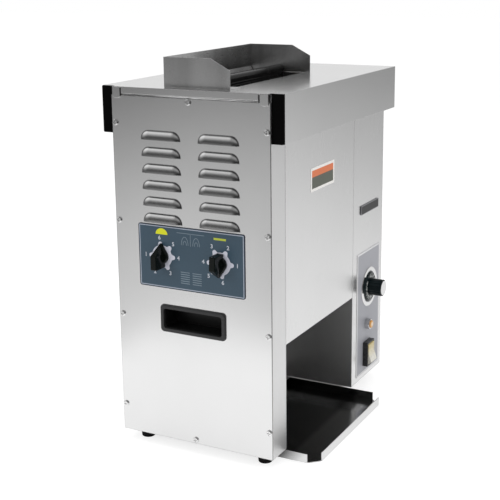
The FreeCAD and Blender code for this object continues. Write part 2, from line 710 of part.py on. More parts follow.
def rear_panel():
    panel = box(0, BODY_W, REAR_Y1, BODY_D, REAR_BASE_Z, HOOD_UNDER_Z)
    holes = screw_holes(rear_screw_places() + skirt_screw_places())
    holes.append(rod(GLAND_R, V(GLAND_X, BODY_D - CUT_OVER, GLAND_Z), Y_DIR, CUT_OVER * 2))
    holes += fan_grille()
    panel = cut_all(panel, holes)
    middles = [BODY_W / 2 - LOUVER_COLUMN_PITCH / 2, BODY_W / 2 + LOUVER_COLUMN_PITCH / 2]
    tops = [BASE_Z + REAR_LOUVER_TOP - i * LOUVER_PITCH for i in range(REAR_LOUVER_ROWS)]
    return add_louvers(panel, middles, tops, BODY_D, HALF_TURN_DEG)


def fan_grille():
    """Ring slots with crossing ribs, cut over the fan's duct."""
    slots = []
    pitch = FAN_DUCT_R / (GRILLE_RINGS + 1)
    ribs = [box(FAN_X - FAN_W, FAN_X + FAN_W, 0, BODY_D + CUT_OVER,
                FAN_Z - GRILLE_RIB_W / 2, FAN_Z + GRILLE_RIB_W / 2),
            box(FAN_X - GRILLE_RIB_W / 2, FAN_X + GRILLE_RIB_W / 2, 0, BODY_D + CUT_OVER,
                FAN_Z - FAN_W, FAN_Z + FAN_W)]
    for i in range(GRILLE_RINGS):
        r = pitch * (i + 1)
        ring = tube(r + GRILLE_SLOT_W / 2, r - GRILLE_SLOT_W / 2, V(FAN_X, BODY_D - CUT_OVER, FAN_Z),
                    Y_DIR, CUT_OVER * 2)
        slots.append(cut_all(ring, ribs))
    return slots


def rear_panel_screws():
    return [pan_screw(p, Y_DIR) for p in rear_screw_places() + skirt_screw_places()]


def hood():
    """One folded sheet: top, side and rear skirts, a front hem and two corner ears."""
    x0 = -HOOD_OVERHANG
    x1 = BODY_W + HOOD_OVERHANG
    z0 = TOP_Z - HOOD_SKIRT_H
    skirt_y = CAP_Y + CAP_T
    parts = [box(x0, x1, skirt_y, BODY_D + SHEET, HOOD_UNDER_Z, TOP_Z)]
    parts.append(box(CAP_LAP, BODY_W - CAP_LAP, -HOOD_FRONT_OUT, skirt_y, HOOD_UNDER_Z, TOP_Z))
    parts.append(box(x0, x0 + SHEET, skirt_y, BODY_D + SHEET, z0, TOP_Z))
    parts.append(box(x1 - SHEET, x1, skirt_y, BODY_D + SHEET, z0, TOP_Z))
    parts.append(box(x0, x1, BODY_D, BODY_D + SHEET, z0, TOP_Z))
    bar_x0 = HOOD_BAR_INSET
    bar_x1 = BODY_W - HOOD_BAR_INSET
    bar_z0 = TOP_Z - HOOD_BAR_H
    parts.append(box(bar_x0, bar_x1, -HOOD_FRONT_OUT, SHEET - HOOD_FRONT_OUT, bar_z0, TOP_Z))
    parts.append(box(bar_x0, bar_x1, -HOOD_FRONT_OUT, 0, bar_z0, bar_z0 + HOOD_BAR_HEM))
    for ear_x in (CAP_LAP, BODY_W - CAP_LAP - HOOD_TAB_W):
        ear = rounded_plate(V(ear_x, -HOOD_FRONT_OUT, TOP_Z - HOOD_TAB_H), X_DIR, Z_DIR, HOOD_TAB_W,
                            HOOD_TAB_H + HOOD_TAB_R, HOOD_TAB_R, Y_DIR * SHEET)
        parts.append(ear.common(box(x0, x1, -CUT_OVER, CUT_OVER, z0, TOP_Z)))
    slot = box(SLOT_X0, SLOT_X1, SLOT_Y0, SLOT_Y1, 0, TOP_Z + CUT_OVER)
    return cut_all(fuse(parts), screw_holes(skirt_screw_places()) + [slot])


def hood_end_caps():
    """Two black plastic caps that close the front of the hood's side channels."""
    caps = []
    for x in (-HOOD_OVERHANG, BODY_W - CAP_LAP):
        caps.append(rounded_plate(V(x, CAP_Y, TOP_Z - HOOD_SKIRT_H), X_DIR, Z_DIR, HOOD_OVERHANG + CAP_LAP,
                                  HOOD_SKIRT_H, CAP_R, Y_DIR * CAP_T))
    return caps


def tie_bars():
    """Two angles between the end plates, under the hood."""
    bars = []
    for x, side in ((FLANGE_W, 1), (BODY_W - FLANGE_W, -1)):
        flat = sorted([x, x + side * TIE_W])
        upright = sorted([x, x + side * PLATE_T])
        bars.append(fuse([
            box(flat[0], flat[1], CHAMBER_Y0, CHAMBER_Y1, HOOD_UNDER_Z - PLATE_T, HOOD_UNDER_Z),
            box(upright[0], upright[1], CHAMBER_Y0, CHAMBER_Y1, HOOD_UNDER_Z - TIE_H, HOOD_UNDER_Z)]))
    return bars


def heat_shield(x, side):
    """An inner wall beside a belt loop, folded out to the side cover below; side is the way out."""
    z0 = SIDE_OPEN_Z + SHIELD_RISE
    z1 = HOOD_UNDER_Z - TIE_H - SHIELD_RISE
    wall = sorted([x, x + side * SHEET])
    edge = BODY_W - SHEET if side > 0 else SHEET
    floor = sorted([x, edge])
    return fuse([
        box(wall[0], wall[1], CHAMBER_Y0 + SHEET, CHAMBER_Y1 - SHEET, z0, z1),
        box(floor[0], floor[1], CHAMBER_Y0 + SHEET, CHAMBER_Y1 - SHEET, z0, z0 + SHEET)])


def base_rail():
    """The lower left tie between the two housings, with a lip that stops the tray."""
    y0 = CHAMBER_Y0 + SHEET
    y1 = CHAMBER_Y1 - SHEET
    z0 = BASE_Z + SHEET
    z1 = z0 + SHEET
    return fuse([
        box(SHEET, SHEET * 2, y0, y1, z0, BASE_Z + RAIL_H),
        box(SHEET, RAIL_W + SHEET, y0, y1, z0, z1),
        box(RAIL_W, RAIL_W + SHEET, y0, y1, BASE_Z - RAIL_STOP_DROP, z1)])


def feet():
    """Four tapered rubber feet, each with a stud through the floor above it."""
    shapes = []
    for x, y, top in FRONT_FOOT_PLACES + REAR_FOOT_PLACES:
        body = Part.makeCone(FOOT_BOTTOM_R, FOOT_TOP_R, top, V(x, y, 0), Z_DIR)
        body = body.makeFillet(SHEET, [e for e in body.Edges if e.Closed and e.BoundBox.ZMax < top / 2])
        stud = rod(FOOT_STUD_R, V(x, y, top - SHEET), Z_DIR, SHEET * 2 + FOOT_STUD_UP)
        shapes.append(fuse([body, stud]))
    return shapes


def foot_nuts():
    """A hexagon nut on each foot's stud, inside the housing."""
    shapes = []
    for x, y, top in FRONT_FOOT_PLACES + REAR_FOOT_PLACES:
        nut = hexagon(V(x, y, top + SHEET), X_DIR, Y_DIR, FOOT_NUT_R, Z_DIR * FOOT_NUT_H)
        shapes.append(nut.cut(rod(FOOT_STUD_R, V(x, y, 0), Z_DIR, TOP_Z)))
    return shapes


# Conveyor


def end_bushes():
    """A flanged bush in each end plate for each shaft."""
    shapes = []
    for x, z in shaft_axes():
        for y, inward in ((CHAMBER_Y0, 1), (CHAMBER_Y1, -1)):
            flange = rod(BUSH_FLANGE_R, V(x, y, z), Y_DIR * inward, BUSH_FLANGE_T)
            length = PLATE_T + BUSH_OUT * 2 + BUSH_FLANGE_T
            sleeve = rod(BUSH_R, V(x, y + inward * (BUSH_FLANGE_T + BUSH_OUT), z), Y_DIR * -inward, length)
            bore = rod(SHAFT_R + RUN_GAP, V(x, 0, z), Y_DIR, BODY_D)
            shapes.append(fuse([flange, sleeve]).cut(bore))
    return shapes


def roller(x, z, y_end):
    """A roller with its shaft, from the front plate to y_end."""
    barrel = rod(ROLLER_R, V(x, ROLLER_Y0, z), Y_DIR, ROLLER_Y1 - ROLLER_Y0)
    rims = [e for e in barrel.Edges if e.Closed]
    barrel = barrel.makeChamfer(SHEET, rims)
    return fuse([barrel, rod(SHAFT_R, V(x, SHAFT_Y0, z), Y_DIR, y_end - SHAFT_Y0)])


def loop_outline(x, radius, y):
    """The outline of a belt round its two rollers."""
    edges = [
        Part.LineSegment(V(x - radius, y, DRIVE_Z), V(x - radius, y, IDLER_Z)).toShape(),
        Part.Arc(V(x - radius, y, IDLER_Z), V(x, y, IDLER_Z + radius), V(x + radius, y, IDLER_Z)).toShape(),
        Part.LineSegment(V(x + radius, y, IDLER_Z), V(x + radius, y, DRIVE_Z)).toShape(),
        Part.Arc(V(x + radius, y, DRIVE_Z), V(x, y, DRIVE_Z - radius), V(x - radius, y, DRIVE_Z)).toShape(),
    ]
    return Part.Face(Part.Wire(edges))


def belt(x):
    width = Y_DIR * (BELT_Y1 - BELT_Y0)
    return loop_outline(x, BELT_OUT_R, BELT_Y0).extrude(width).cut(
        loop_outline(x, BELT_IN_R, BELT_Y0).extrude(width))


def involute(angle):
    return math.tan(angle) - angle


def gear(x, z, teeth, phase, hub_r, bore_r, y0):
    """A spur gear with involute flanks; phase is the direction of one tooth's middle, in radians."""
    pitch_r = GEAR_MODULE * teeth / 2
    pressure = math.radians(PRESSURE_DEG)
    base_r = pitch_r * math.cos(pressure)
    tip_r = pitch_r + GEAR_MODULE
    root_r = pitch_r - GEAR_MODULE * GEAR_ROOT_SHARE
    flank_r = max(base_r, root_r)
    thin = GEAR_BACKLASH / (4 * pitch_r)

    def half_angle(r):
        return math.pi / (2 * teeth) - thin + involute(pressure) - involute(math.acos(min(1, base_r / r)))

    def at(r, angle):
        return polar(x, z, r, angle, y0)

    edges = []
    step = math.pi * 2 / teeth
    middle_r = (flank_r + tip_r) / 2
    low = half_angle(flank_r)
    mid = half_angle(middle_r)
    top = half_angle(tip_r)
    for i in range(teeth):
        axis = phase + i * step
        rise = [at(flank_r, axis - low), at(middle_r, axis - mid), at(tip_r, axis - top)]
        fall = [at(tip_r, axis + top), at(middle_r, axis + mid), at(flank_r, axis + low)]
        root = [at(root_r, axis + low), at(root_r, axis + step / 2), at(root_r, axis + step - low)]
        if root_r < flank_r:
            edges.append(Part.LineSegment(at(root_r, axis - low), rise[0]).toShape())
        edges.append(Part.Arc(*rise).toShape())
        edges.append(Part.Arc(rise[-1], at(tip_r, axis), fall[0]).toShape())
        edges.append(Part.Arc(*fall).toShape())
        if root_r < flank_r:
            edges.append(Part.LineSegment(fall[-1], root[0]).toShape())
        edges.append(Part.Arc(*root).toShape())
    disc = Part.Face(Part.Wire(edges)).extrude(Y_DIR * GEAR_W)
    hub = rod(hub_r, V(x, y0, z), Y_DIR, GEAR_HUB_L)
    bore = rod(bore_r, V(x, 0, z), Y_DIR, BODY_D)
    return fuse([disc, hub]).cut(bore)


def web_holes(shape, x, z):
    """Round lightening holes through a large gear's web."""
    r = (GEAR_MODULE * GEAR_TEETH / 2 + GEAR_HUB_R) / 2
    holes = []
    for i in range(GEAR_WEB_HOLES):
        centre = polar(x, z, r, math.pi * 2 * i / GEAR_WEB_HOLES, 0)
        holes.append(rod(GEAR_WEB_HOLE_R, centre, Y_DIR, BODY_D))
    return cut_all(shape, holes)


def crown_drive_gear():
    return web_holes(gear(CROWN_X, DRIVE_Z, GEAR_TEETH, 0, GEAR_HUB_R, SHAFT_R, GEAR_Y0), CROWN_X, DRIVE_Z)


def heel_drive_gear():
    half_pitch = math.pi / GEAR_TEETH
    turned = gear(HEEL_X, DRIVE_Z, GEAR_TEETH, math.pi + half_pitch, GEAR_HUB_R, SHAFT_R, GEAR_Y0)
    return web_holes(turned, HEEL_X, DRIVE_Z)


def pinion_phase():
    """The direction of one pinion tooth, in radians, so that it meshes with the crown gear."""
    direction = math.radians(PINION_DIR_DEG)
    pitch = math.pi * 2 / GEAR_TEETH
    tooth_off = round(direction / pitch) * pitch - direction
    gap_at = direction - math.pi - tooth_off * GEAR_TEETH / PINION_TEETH
    return gap_at + math.pi / PINION_TEETH


def motor_pinion():
    """The pinion and the motor's output shaft, which it is fixed to."""
    hub_r = GEAR_MODULE * PINION_TEETH / 4
    teeth = gear(PINION_X, PINION_Z, PINION_TEETH, pinion_phase(), hub_r, MOTOR_SHAFT_R, GEAR_Y0)
    shaft = rod(MOTOR_SHAFT_R, V(PINION_X, GEAR_Y0, PINION_Z), Y_DIR, MOTOR_Y0 + GEARBOX_D / 2 - GEAR_Y0)
    return fuse([teeth, shaft])


def motor_plate_corners():
    """Standoff places round the gearbox, clear of the gears, as (x, z)."""
    dx = GEARBOX_W / 2 + MOTOR_STANDOFF_R
    dz = GEARBOX_H / 2 + MOTOR_STANDOFF_R
    return [(PINION_X - dx, PINION_Z - dz), (PINION_X + dx, PINION_Z - dz), (PINION_X - dx, PINION_Z + dz)]


def motor_bracket():
    """A plate on three standoffs from the rear end plate; it carries the gear motor."""
    corners = motor_plate_corners()
    edge = MOTOR_STANDOFF_R + SHEET
    low = [min(c[0] for c in corners) - edge, min(c[1] for c in corners) - edge]
    high = [max(c[0] for c in corners) + edge, max(c[1] for c in corners) + edge]
    plate = box(low[0], high[0], MOTOR_Y0 - PLATE_T, MOTOR_Y0, low[1], high[1])
    notch = box(PINION_X + GEARBOX_W / 2, high[0], 0, BODY_D, PINION_Z, high[1])
    posts = [rod(MOTOR_STANDOFF_R, V(x, REAR_Y0, z), Y_DIR, MOTOR_Y0 - REAR_Y0) for x, z in corners]
    hole = rod(MOTOR_SHAFT_R + SHEET * 2, V(PINION_X, MOTOR_Y0 - CUT_OVER, PINION_Z), Y_DIR, CUT_OVER * 2)
    return fuse([plate.cut(notch).cut(hole)] + posts)


def gear_motor():
    """Gearbox and motor can, as one bought unit."""
    x0 = PINION_X - GEARBOX_W / 2
    z0 = PINION_Z - GEARBOX_H / 2
    case = rounded_plate(V(x0, MOTOR_Y0, z0), X_DIR, Z_DIR, GEARBOX_W, GEARBOX_H, GEARBOX_R,
                         Y_DIR * GEARBOX_D)
    can = rod(MOTOR_R, V(PINION_X, MOTOR_Y0 + GEARBOX_D, PINION_Z), Y_DIR, MOTOR_L)
    end = [e for e in can.Edges if e.Closed and e.BoundBox.YMin > MOTOR_Y0 + GEARBOX_D + MOTOR_L / 2]
    can = can.makeFillet(MOTOR_EDGE_R, end)
    bore = rod(MOTOR_SHAFT_R + RUN_GAP, V(PINION_X, MOTOR_Y0 - CUT_OVER, PINION_Z), Y_DIR,
               CUT_OVER + GEARBOX_D / 2 + SHEET)
    return fuse([case, can]).cut(bore)


def cam(x, side, y0):
    """A cam whose flat follower moves evenly as the shaft turns; side points to its plate."""
    travel = COMPRESS_TRAVEL / math.radians(KNOB_TURN_DEG)
    facing = 0 if side > 0 else math.pi
    points = []
    for i in range(CAM_STEPS + 1):
        turn = math.radians(KNOB_TURN_DEG) * i / CAM_STEPS
        reach = CAM_REACH - travel * turn
        angle = facing + turn
        px = x + reach * math.cos(angle) + travel * math.sin(angle)
        pz = KNOB_Z + reach * math.sin(angle) - travel * math.cos(angle)
        points.append(V(px, y0, pz))
    curve = Part.BSplineCurve()
    curve.interpolate(points)
    wire = Part.Wire([curve.toShape(), Part.LineSegment(points[-1], points[0]).toShape()])
    return Part.Face(wire).extrude(Y_DIR * CAM_W)


def cam_shaft(x, side):
    """A compression shaft: it carries its knob in front and two cams inside the belt loop."""
    core = rod(SHAFT_R, V(x, KNOB_BASE_Y, KNOB_Z), Y_DIR, SHAFT_Y1 - KNOB_BASE_Y)
    spigot = rod(SHAFT_R - SHEET, V(x, KNOB_BASE_Y - KNOB_H / 2, KNOB_Z), Y_DIR, KNOB_H)
    cams = [cam(x, side, BELT_Y0 + CAM_INSET), cam(x, side, BELT_Y1 - CAM_INSET - CAM_W)]
    return fuse([core, spigot] + cams)


def compression_plate(x, side):
    """The plate behind a belt's inner run, with four tabs that slide in the end plates."""
    def across(near, far):
        return sorted([x + side * near, x + side * far])
    face = across(COMPRESS_NEAR, COMPRESS_BACK)
    parts = [box(face[0], face[1], BELT_Y0, BELT_Y1, COMPRESS_Z0, COMPRESS_Z1)]
    for z in tab_heights():
        parts.append(box(face[0], face[1], CHAMBER_Y0 - PLATE_T - COMPRESS_TAB_OUT,
                         CHAMBER_Y1 + PLATE_T + COMPRESS_TAB_OUT, z, z + COMPRESS_TAB_H))
    return fuse(parts)


# Platen


def platen_faces():
    """The two heated plates, with a space for the elements between them."""
    y0 = CHAMBER_Y0 + PLATEN_END_GAP
    y1 = CHAMBER_Y1 - PLATEN_END_GAP
    return [box(PLATEN_X0, PLATEN_X0 + PLATEN_FACE_T, y0, y1, PLATEN_Z0, PLATEN_Z1),
            box(PLATEN_X1 - PLATEN_FACE_T, PLATEN_X1, y0, y1, PLATEN_Z0, PLATEN_Z1)]


def platen_end_bars():
    """Two upright bars between the plates, fixed to the end plates."""
    x0 = PLATEN_X0 + PLATEN_FACE_T
    x1 = PLATEN_X1 - PLATEN_FACE_T
    return [box(x0, x1, CHAMBER_Y0, CHAMBER_Y0 + END_BAR_D, PLATEN_Z0, PLATEN_Z1),
            box(x0, x1, CHAMBER_Y1 - END_BAR_D, CHAMBER_Y1, PLATEN_Z0, PLATEN_Z1)]


def heating_element():
    """A sheathed element that runs to and fro between the platen's two plates."""
    x = (PLATEN_X0 + PLATEN_X1) / 2
    pitch = (PLATEN_Z1 - PLATEN_Z0) / (HEATER_RUNS + 1)
    bend = pitch / 2
    y0 = CHAMBER_Y0 + END_BAR_D + bend + HEATER_R * 2
    y1 = CHAMBER_Y1 - END_BAR_D - bend - HEATER_R * 2
    edges = []
    z = PLATEN_Z0 + pitch
    for i in range(HEATER_RUNS):
        start, stop = (y0, y1) if i % 2 == 0 else (y1, y0)
        edges.append(Part.LineSegment(V(x, start, z), V(x, stop, z)).toShape())
        if i < HEATER_RUNS - 1:
            bulge = bend if stop > start else -bend
            turn = [V(x, stop, z), V(x, stop + bulge, z + bend), V(x, stop, z + pitch)]
            edges.append(Part.Arc(*turn).toShape())
        z += pitch
    path = Part.Wire(edges)
    section = Part.Wire([Part.Circle(V(x, y0, PLATEN_Z0 + pitch), Y_DIR, HEATER_R).toShape()])
    return path.makePipeShell([section], True, False)


def release_sheet():
    """A thin non-stick sheet hung over the platen, down both faces."""
    y0 = CHAMBER_Y0 + PLATEN_END_GAP
    y1 = CHAMBER_Y1 - PLATEN_END_GAP
    outer = box(PLATEN_X0 - RELEASE_T, PLATEN_X1 + RELEASE_T, y0, y1, PLATEN_Z0, PLATEN_Z1 + RELEASE_T)
    return outer.cut(box(PLATEN_X0, PLATEN_X1, 0, BODY_D, PLATEN_Z0, PLATEN_Z1))


def slot_divider():
    """The black bar on top of the platen that parts the two feed slots."""
    x0 = PLATEN_X0 - DIVIDER_SIDE
    x1 = PLATEN_X1 + DIVIDER_SIDE
    z0 = PLATEN_Z1 + RELEASE_T
    z1 = TOP_Z + DIVIDER_PROUD
    bar = box(x0, x1, SLOT_Y0 + SHEET, SLOT_Y1 - SHEET, z0, z1)
    top = [e for e in bar.Edges if e.BoundBox.ZMin > z1 - SHEET and e.BoundBox.YLength > SHEET]
    bar = bar.makeFillet(DIVIDER_TOP_R, top)
    grooves = []
    for x in (x0, x1):
        for z in (TOP_Z - DIVIDER_GROOVE_R, TOP_Z - DIVIDER_GROOVE_R - DIVIDER_GROOVE_PITCH):
            grooves.append(rod(DIVIDER_GROOVE_R, V(x, 0, z), Y_DIR, BODY_D))
    return cut_all(bar, grooves)


# Feeder, chute and tray


def bun_feeder():
    """A lift-off guard on the hood: three walls, a foot flange and a sloped guide into the crown slot."""
    t = FEEDER_SHEET
    z1 = TOP_Z + FEEDER_H
    left = box(FEEDER_X0, FEEDER_X0 + t, FEEDER_Y0, FEEDER_Y1, TOP_Z, z1)
    walls = [left]
    for y in (FEEDER_Y0, FEEDER_Y1 - t):
        outline = [V(FEEDER_X0, y, TOP_Z), V(FEEDER_X1, y, TOP_Z), V(FEEDER_X1, y, TOP_Z + FEEDER_LOW_H),
                   V(FEEDER_X1 - FEEDER_CHAMFER_L, y, z1), V(FEEDER_X0, y, z1)]
        walls.append(polygon(outline, Y_DIR * t))
    walls.append(box(FEEDER_X0, FEEDER_X1, FEEDER_Y0, SLOT_Y0, TOP_Z, TOP_Z + t))
    top_x = FEEDER_X0 + t
    low_x = FEEDER_X0 + FEEDER_GUIDE_IN
    high_z = TOP_Z + FEEDER_GUIDE_UP
    low_z = TOP_Z - FEEDER_GUIDE_DOWN
    guide = [V(top_x, SLOT_Y0 + t, high_z), V(low_x, SLOT_Y0 + t, low_z), V(low_x + t, SLOT_Y0 + t, low_z),
             V(top_x + t, SLOT_Y0 + t, high_z + t), V(top_x, SLOT_Y0 + t, high_z + t)]
    walls.append(polygon(guide, Y_DIR * (SLOT_Y1 - SLOT_Y0 - t * 2)))
    return fuse(walls)


def bun_chute():
    """A bent sheet under the platen that turns the falling buns out to the right."""
    slope = math.radians(CHUTE_SLOPE_DEG)
    centre_x = CHUTE_END_X - CHUTE_FLAT_L
    centre_z = CHUTE_END_Z + CHUTE_BEND_R

    def bottom_line(r):
        """The points along one face, whose bend has radius r round the bend's centre."""
        end = V(CHUTE_END_X, CHAMBER_Y0, centre_z - r)
        flat = V(centre_x, CHAMBER_Y0, centre_z - r)
        mid = V(centre_x - r * math.sin(slope / 2), CHAMBER_Y0, centre_z - r * math.cos(slope / 2))
        rise = V(centre_x - r * math.sin(slope), CHAMBER_Y0, centre_z - r * math.cos(slope))
        return end, flat, mid, rise

    inner_r = CHUTE_BEND_R - SHEET
    end0, flat0, mid0, rise0 = bottom_line(CHUTE_BEND_R)
    end1, flat1, mid1, rise1 = bottom_line(inner_r)
    x0 = CHUTE_LEFT_X
    x1 = CHUTE_LEFT_X + SHEET
    knee0 = V(x0, CHAMBER_Y0, rise0.z + (rise0.x - x0) * math.tan(slope))
    knee1 = V(x1, CHAMBER_Y0, rise1.z + (rise1.x - x1) * math.tan(slope))
    top_z = BASE_Z + CHUTE_TOP_RISE
    edges = [
        Part.LineSegment(end0, flat0).toShape(),
        Part.Arc(flat0, mid0, rise0).toShape(),
        Part.LineSegment(rise0, knee0).toShape(),
        Part.LineSegment(knee0, V(x0, CHAMBER_Y0, top_z)).toShape(),
        Part.LineSegment(V(x0, CHAMBER_Y0, top_z), V(x1, CHAMBER_Y0, top_z)).toShape(),
        Part.LineSegment(V(x1, CHAMBER_Y0, top_z), knee1).toShape(),
        Part.LineSegment(knee1, rise1).toShape(),
        Part.Arc(rise1, mid1, flat1).toShape(),
        Part.LineSegment(flat1, end1).toShape(),
        Part.LineSegment(end1, end0).toShape(),
    ]
    return Part.Face(Part.Wire(edges)).extrude(Y_DIR * CHAMBER_D)


def landing_tray():
    """A folded sheet tray whose front right corner is cut off and left without a lip."""
    corner_x = TRAY_X1 - TRAY_CHAMFER_X
    front_y = TRAY_Y0 + TRAY_CHAMFER_Y
    rear_y = TRAY_Y1 - TRAY_CHAMFER_Y
    floor = polygon([V(TRAY_X0, TRAY_Y0, 0), V(corner_x, TRAY_Y0, 0), V(TRAY_X1, front_y, 0),
                     V(TRAY_X1, rear_y, 0), V(corner_x, TRAY_Y1, 0), V(TRAY_X0, TRAY_Y1, 0)], Z_DIR * SHEET)
    lips = [box(TRAY_X0, corner_x, TRAY_Y0, TRAY_Y0 + SHEET, 0, TRAY_LIP_H),
            box(TRAY_X1 - SHEET, TRAY_X1, front_y, rear_y, 0, TRAY_LIP_H),
            box(TRAY_X0, corner_x, TRAY_Y1 - SHEET, TRAY_Y1, 0, TRAY_LIP_H),
            box(TRAY_X0, TRAY_X0 + SHEET, TRAY_Y0, TRAY_Y1, 0, TRAY_LIP_H)]
    return fuse([floor] + lips)


# Controls on the right side


def side_plate(y0, z0, width, height, radius, x0, depth):
    """A flat plate that lies on the right side."""
    return rounded_plate(V(x0, y0, z0), Y_DIR, Z_DIR, width, height, radius, X_DIR * depth)


def control_label_plate():
    y0 = CHAMBER_Y1 + LABEL_Y
    plate = side_plate(y0, LABEL_Z0, LABEL_W, LABEL_H, LABEL_R, BODY_W, LABEL_T)
    holes = [rod(LAMP_BARREL_R, V(0, LAMP_CENTRE_Y, LAMP_CENTRE_Z), X_DIR, BODY_W * 2)]
    holes.append(rod(STAT_NOSE_R, V(0, DIAL_CENTRE_Y, DIAL_CENTRE_Z), X_DIR, BODY_W * 2))
    holes.append(switch_window(0, BODY_W * 2))
    return cut_all(plate, holes)


def dial_ring():
    """The bright ring on the label plate, round the thermostat's dial."""
    centre = V(BODY_W + LABEL_T, DIAL_CENTRE_Y, DIAL_CENTRE_Z)
    ring = tube(DIAL_RING_R, DIAL_RING_IN_R, centre, X_DIR, DIAL_RING_T)
    edge = [e for e in ring.Edges if e.Closed and e.BoundBox.XMin > centre.x + DIAL_RING_T / 2]
    return ring.makeChamfer(DIAL_RING_T / 2, edge)


def thermostat_knob():
    """The dial skirt, fluted grip and shaft, which turn as one."""
    centre = V(BODY_W + LABEL_T + KNOB_LIFT, DIAL_CENTRE_Y, DIAL_CENTRE_Z)
    rim_r = SKIRT_R - SKIRT_T
    skirt = Part.makeCone(SKIRT_R, rim_r, SKIRT_T, centre, X_DIR)
    grip = rod(DIAL_KNOB_R, centre, X_DIR, DIAL_KNOB_H - DIAL_CAP_T)
    flutes = []
    for i in range(DIAL_FLUTES):
        angle = math.pi * 2 * i / DIAL_FLUTES
        at = centre + V(SKIRT_T, DIAL_KNOB_R * math.cos(angle), DIAL_KNOB_R * math.sin(angle))
        flutes.append(rod(DIAL_FLUTE_R, at, X_DIR, DIAL_KNOB_H))
    shaft = rod(DIAL_SHAFT_R, V(BODY_W - STAT_D / 2, DIAL_CENTRE_Y, DIAL_CENTRE_Z), X_DIR,
                centre.x + SKIRT_T - BODY_W + STAT_D / 2)
    return fuse([skirt, cut_all(grip, flutes), shaft])


def knob_cap():
    """The bright disc in the end of the thermostat's grip."""
    x = BODY_W + LABEL_T + KNOB_LIFT + DIAL_KNOB_H - DIAL_CAP_T
    return rod(DIAL_CAP_R, V(x, DIAL_CENTRE_Y, DIAL_CENTRE_Z), X_DIR, DIAL_CAP_T)


def thermostat_body():
    """The control behind the dial, with a nose that the shaft turns in."""
    half = STAT_W / 2
    case = box(BODY_W - SHEET - STAT_D, BODY_W - SHEET, DIAL_CENTRE_Y - half, DIAL_CENTRE_Y + half,
               DIAL_CENTRE_Z - half, DIAL_CENTRE_Z + half)
    nose = rod(STAT_NOSE_R, V(BODY_W - SHEET, DIAL_CENTRE_Y, DIAL_CENTRE_Z), X_DIR, SHEET + LABEL_T)
    bore = rod(DIAL_SHAFT_R + RUN_GAP, V(BODY_W - STAT_D / 2 - SHEET, DIAL_CENTRE_Y, DIAL_CENTRE_Z), X_DIR,
               STAT_D)
    return fuse([case, nose]).cut(bore)


def lamp_body():
    """The indicator's bright bezel and the barrel behind it."""
    x0 = BODY_W + LABEL_T
    face = rod(LAMP_R, V(x0, LAMP_CENTRE_Y, LAMP_CENTRE_Z), X_DIR, LAMP_OUT)
    rim = [e for e in face.Edges if e.Closed and e.BoundBox.XMin > x0 + LAMP_OUT / 2]
    face = face.makeFillet(SHEET, rim)
    barrel = rod(LAMP_BARREL_R, V(x0 - LAMP_BARREL_L, LAMP_CENTRE_Y, LAMP_CENTRE_Z), X_DIR, LAMP_BARREL_L)
    seat = rod(LAMP_LENS_R, V(x0 + LAMP_OUT / 2, LAMP_CENTRE_Y, LAMP_CENTRE_Z), X_DIR, LAMP_OUT)
    return fuse([face, barrel]).cut(seat)


def lamp_lens():
    x0 = BODY_W + LABEL_T + LAMP_OUT / 2
    length = LAMP_OUT / 2 + LAMP_LENS_OUT
    lens = rod(LAMP_LENS_R, V(x0, LAMP_CENTRE_Y, LAMP_CENTRE_Z), X_DIR, length)
    rim = [e for e in lens.Edges if e.Closed and e.BoundBox.XMin > x0 + length / 2]
    return lens.makeFillet(LAMP_LENS_EDGE_R, rim)


def switch_window(x0, x1):
    """The opening in the side that the switch's body passes through."""
    half_w = SWITCH_W / 2 - SHEET
    half_h = SWITCH_H / 2 - SHEET
    return box(x0, x1, SWITCH_CENTRE_Y - half_w, SWITCH_CENTRE_Y + half_w,
               SWITCH_CENTRE_Z - half_h, SWITCH_CENTRE_Z + half_h)


def rocker_room():
    """The space in the switch that the rocker sweeps."""
    half_w = ROCKER_W / 2 + BODY_GAP
    reach = ROCKER_R + BODY_GAP
    depth = ROCKER_FACE_OUT + math.sin(math.radians(ROCKER_TILT_DEG * 2)) * ROCKER_R
    return box(ROCKER_X - depth, BODY_W + CUT_OVER * 2, SWITCH_CENTRE_Y - half_w, SWITCH_CENTRE_Y + half_w,
               SWITCH_CENTRE_Z - reach, SWITCH_CENTRE_Z + reach)


def switch_body():
    x0 = BODY_W + LABEL_T
    bezel = side_plate(SWITCH_CENTRE_Y - SWITCH_W / 2, SWITCH_CENTRE_Z - SWITCH_H / 2, SWITCH_W, SWITCH_H,
                       SWITCH_R, x0, SWITCH_OUT)
    face = [e for e in bezel.Edges if e.BoundBox.XMin > x0 + SWITCH_OUT - SHEET / 2]
    bezel = bezel.makeFillet(SHEET / 2, face)
    back = switch_window(x0 - SWITCH_BODY_D, x0)
    pins = rod(ROCKER_PIN_R + RUN_GAP, V(ROCKER_X, SWITCH_CENTRE_Y - SWITCH_W / 2 + SHEET, SWITCH_CENTRE_Z),
               Y_DIR, SWITCH_W - SHEET * 2)
    return fuse([bezel, back]).cut(rocker_room()).cut(pins)


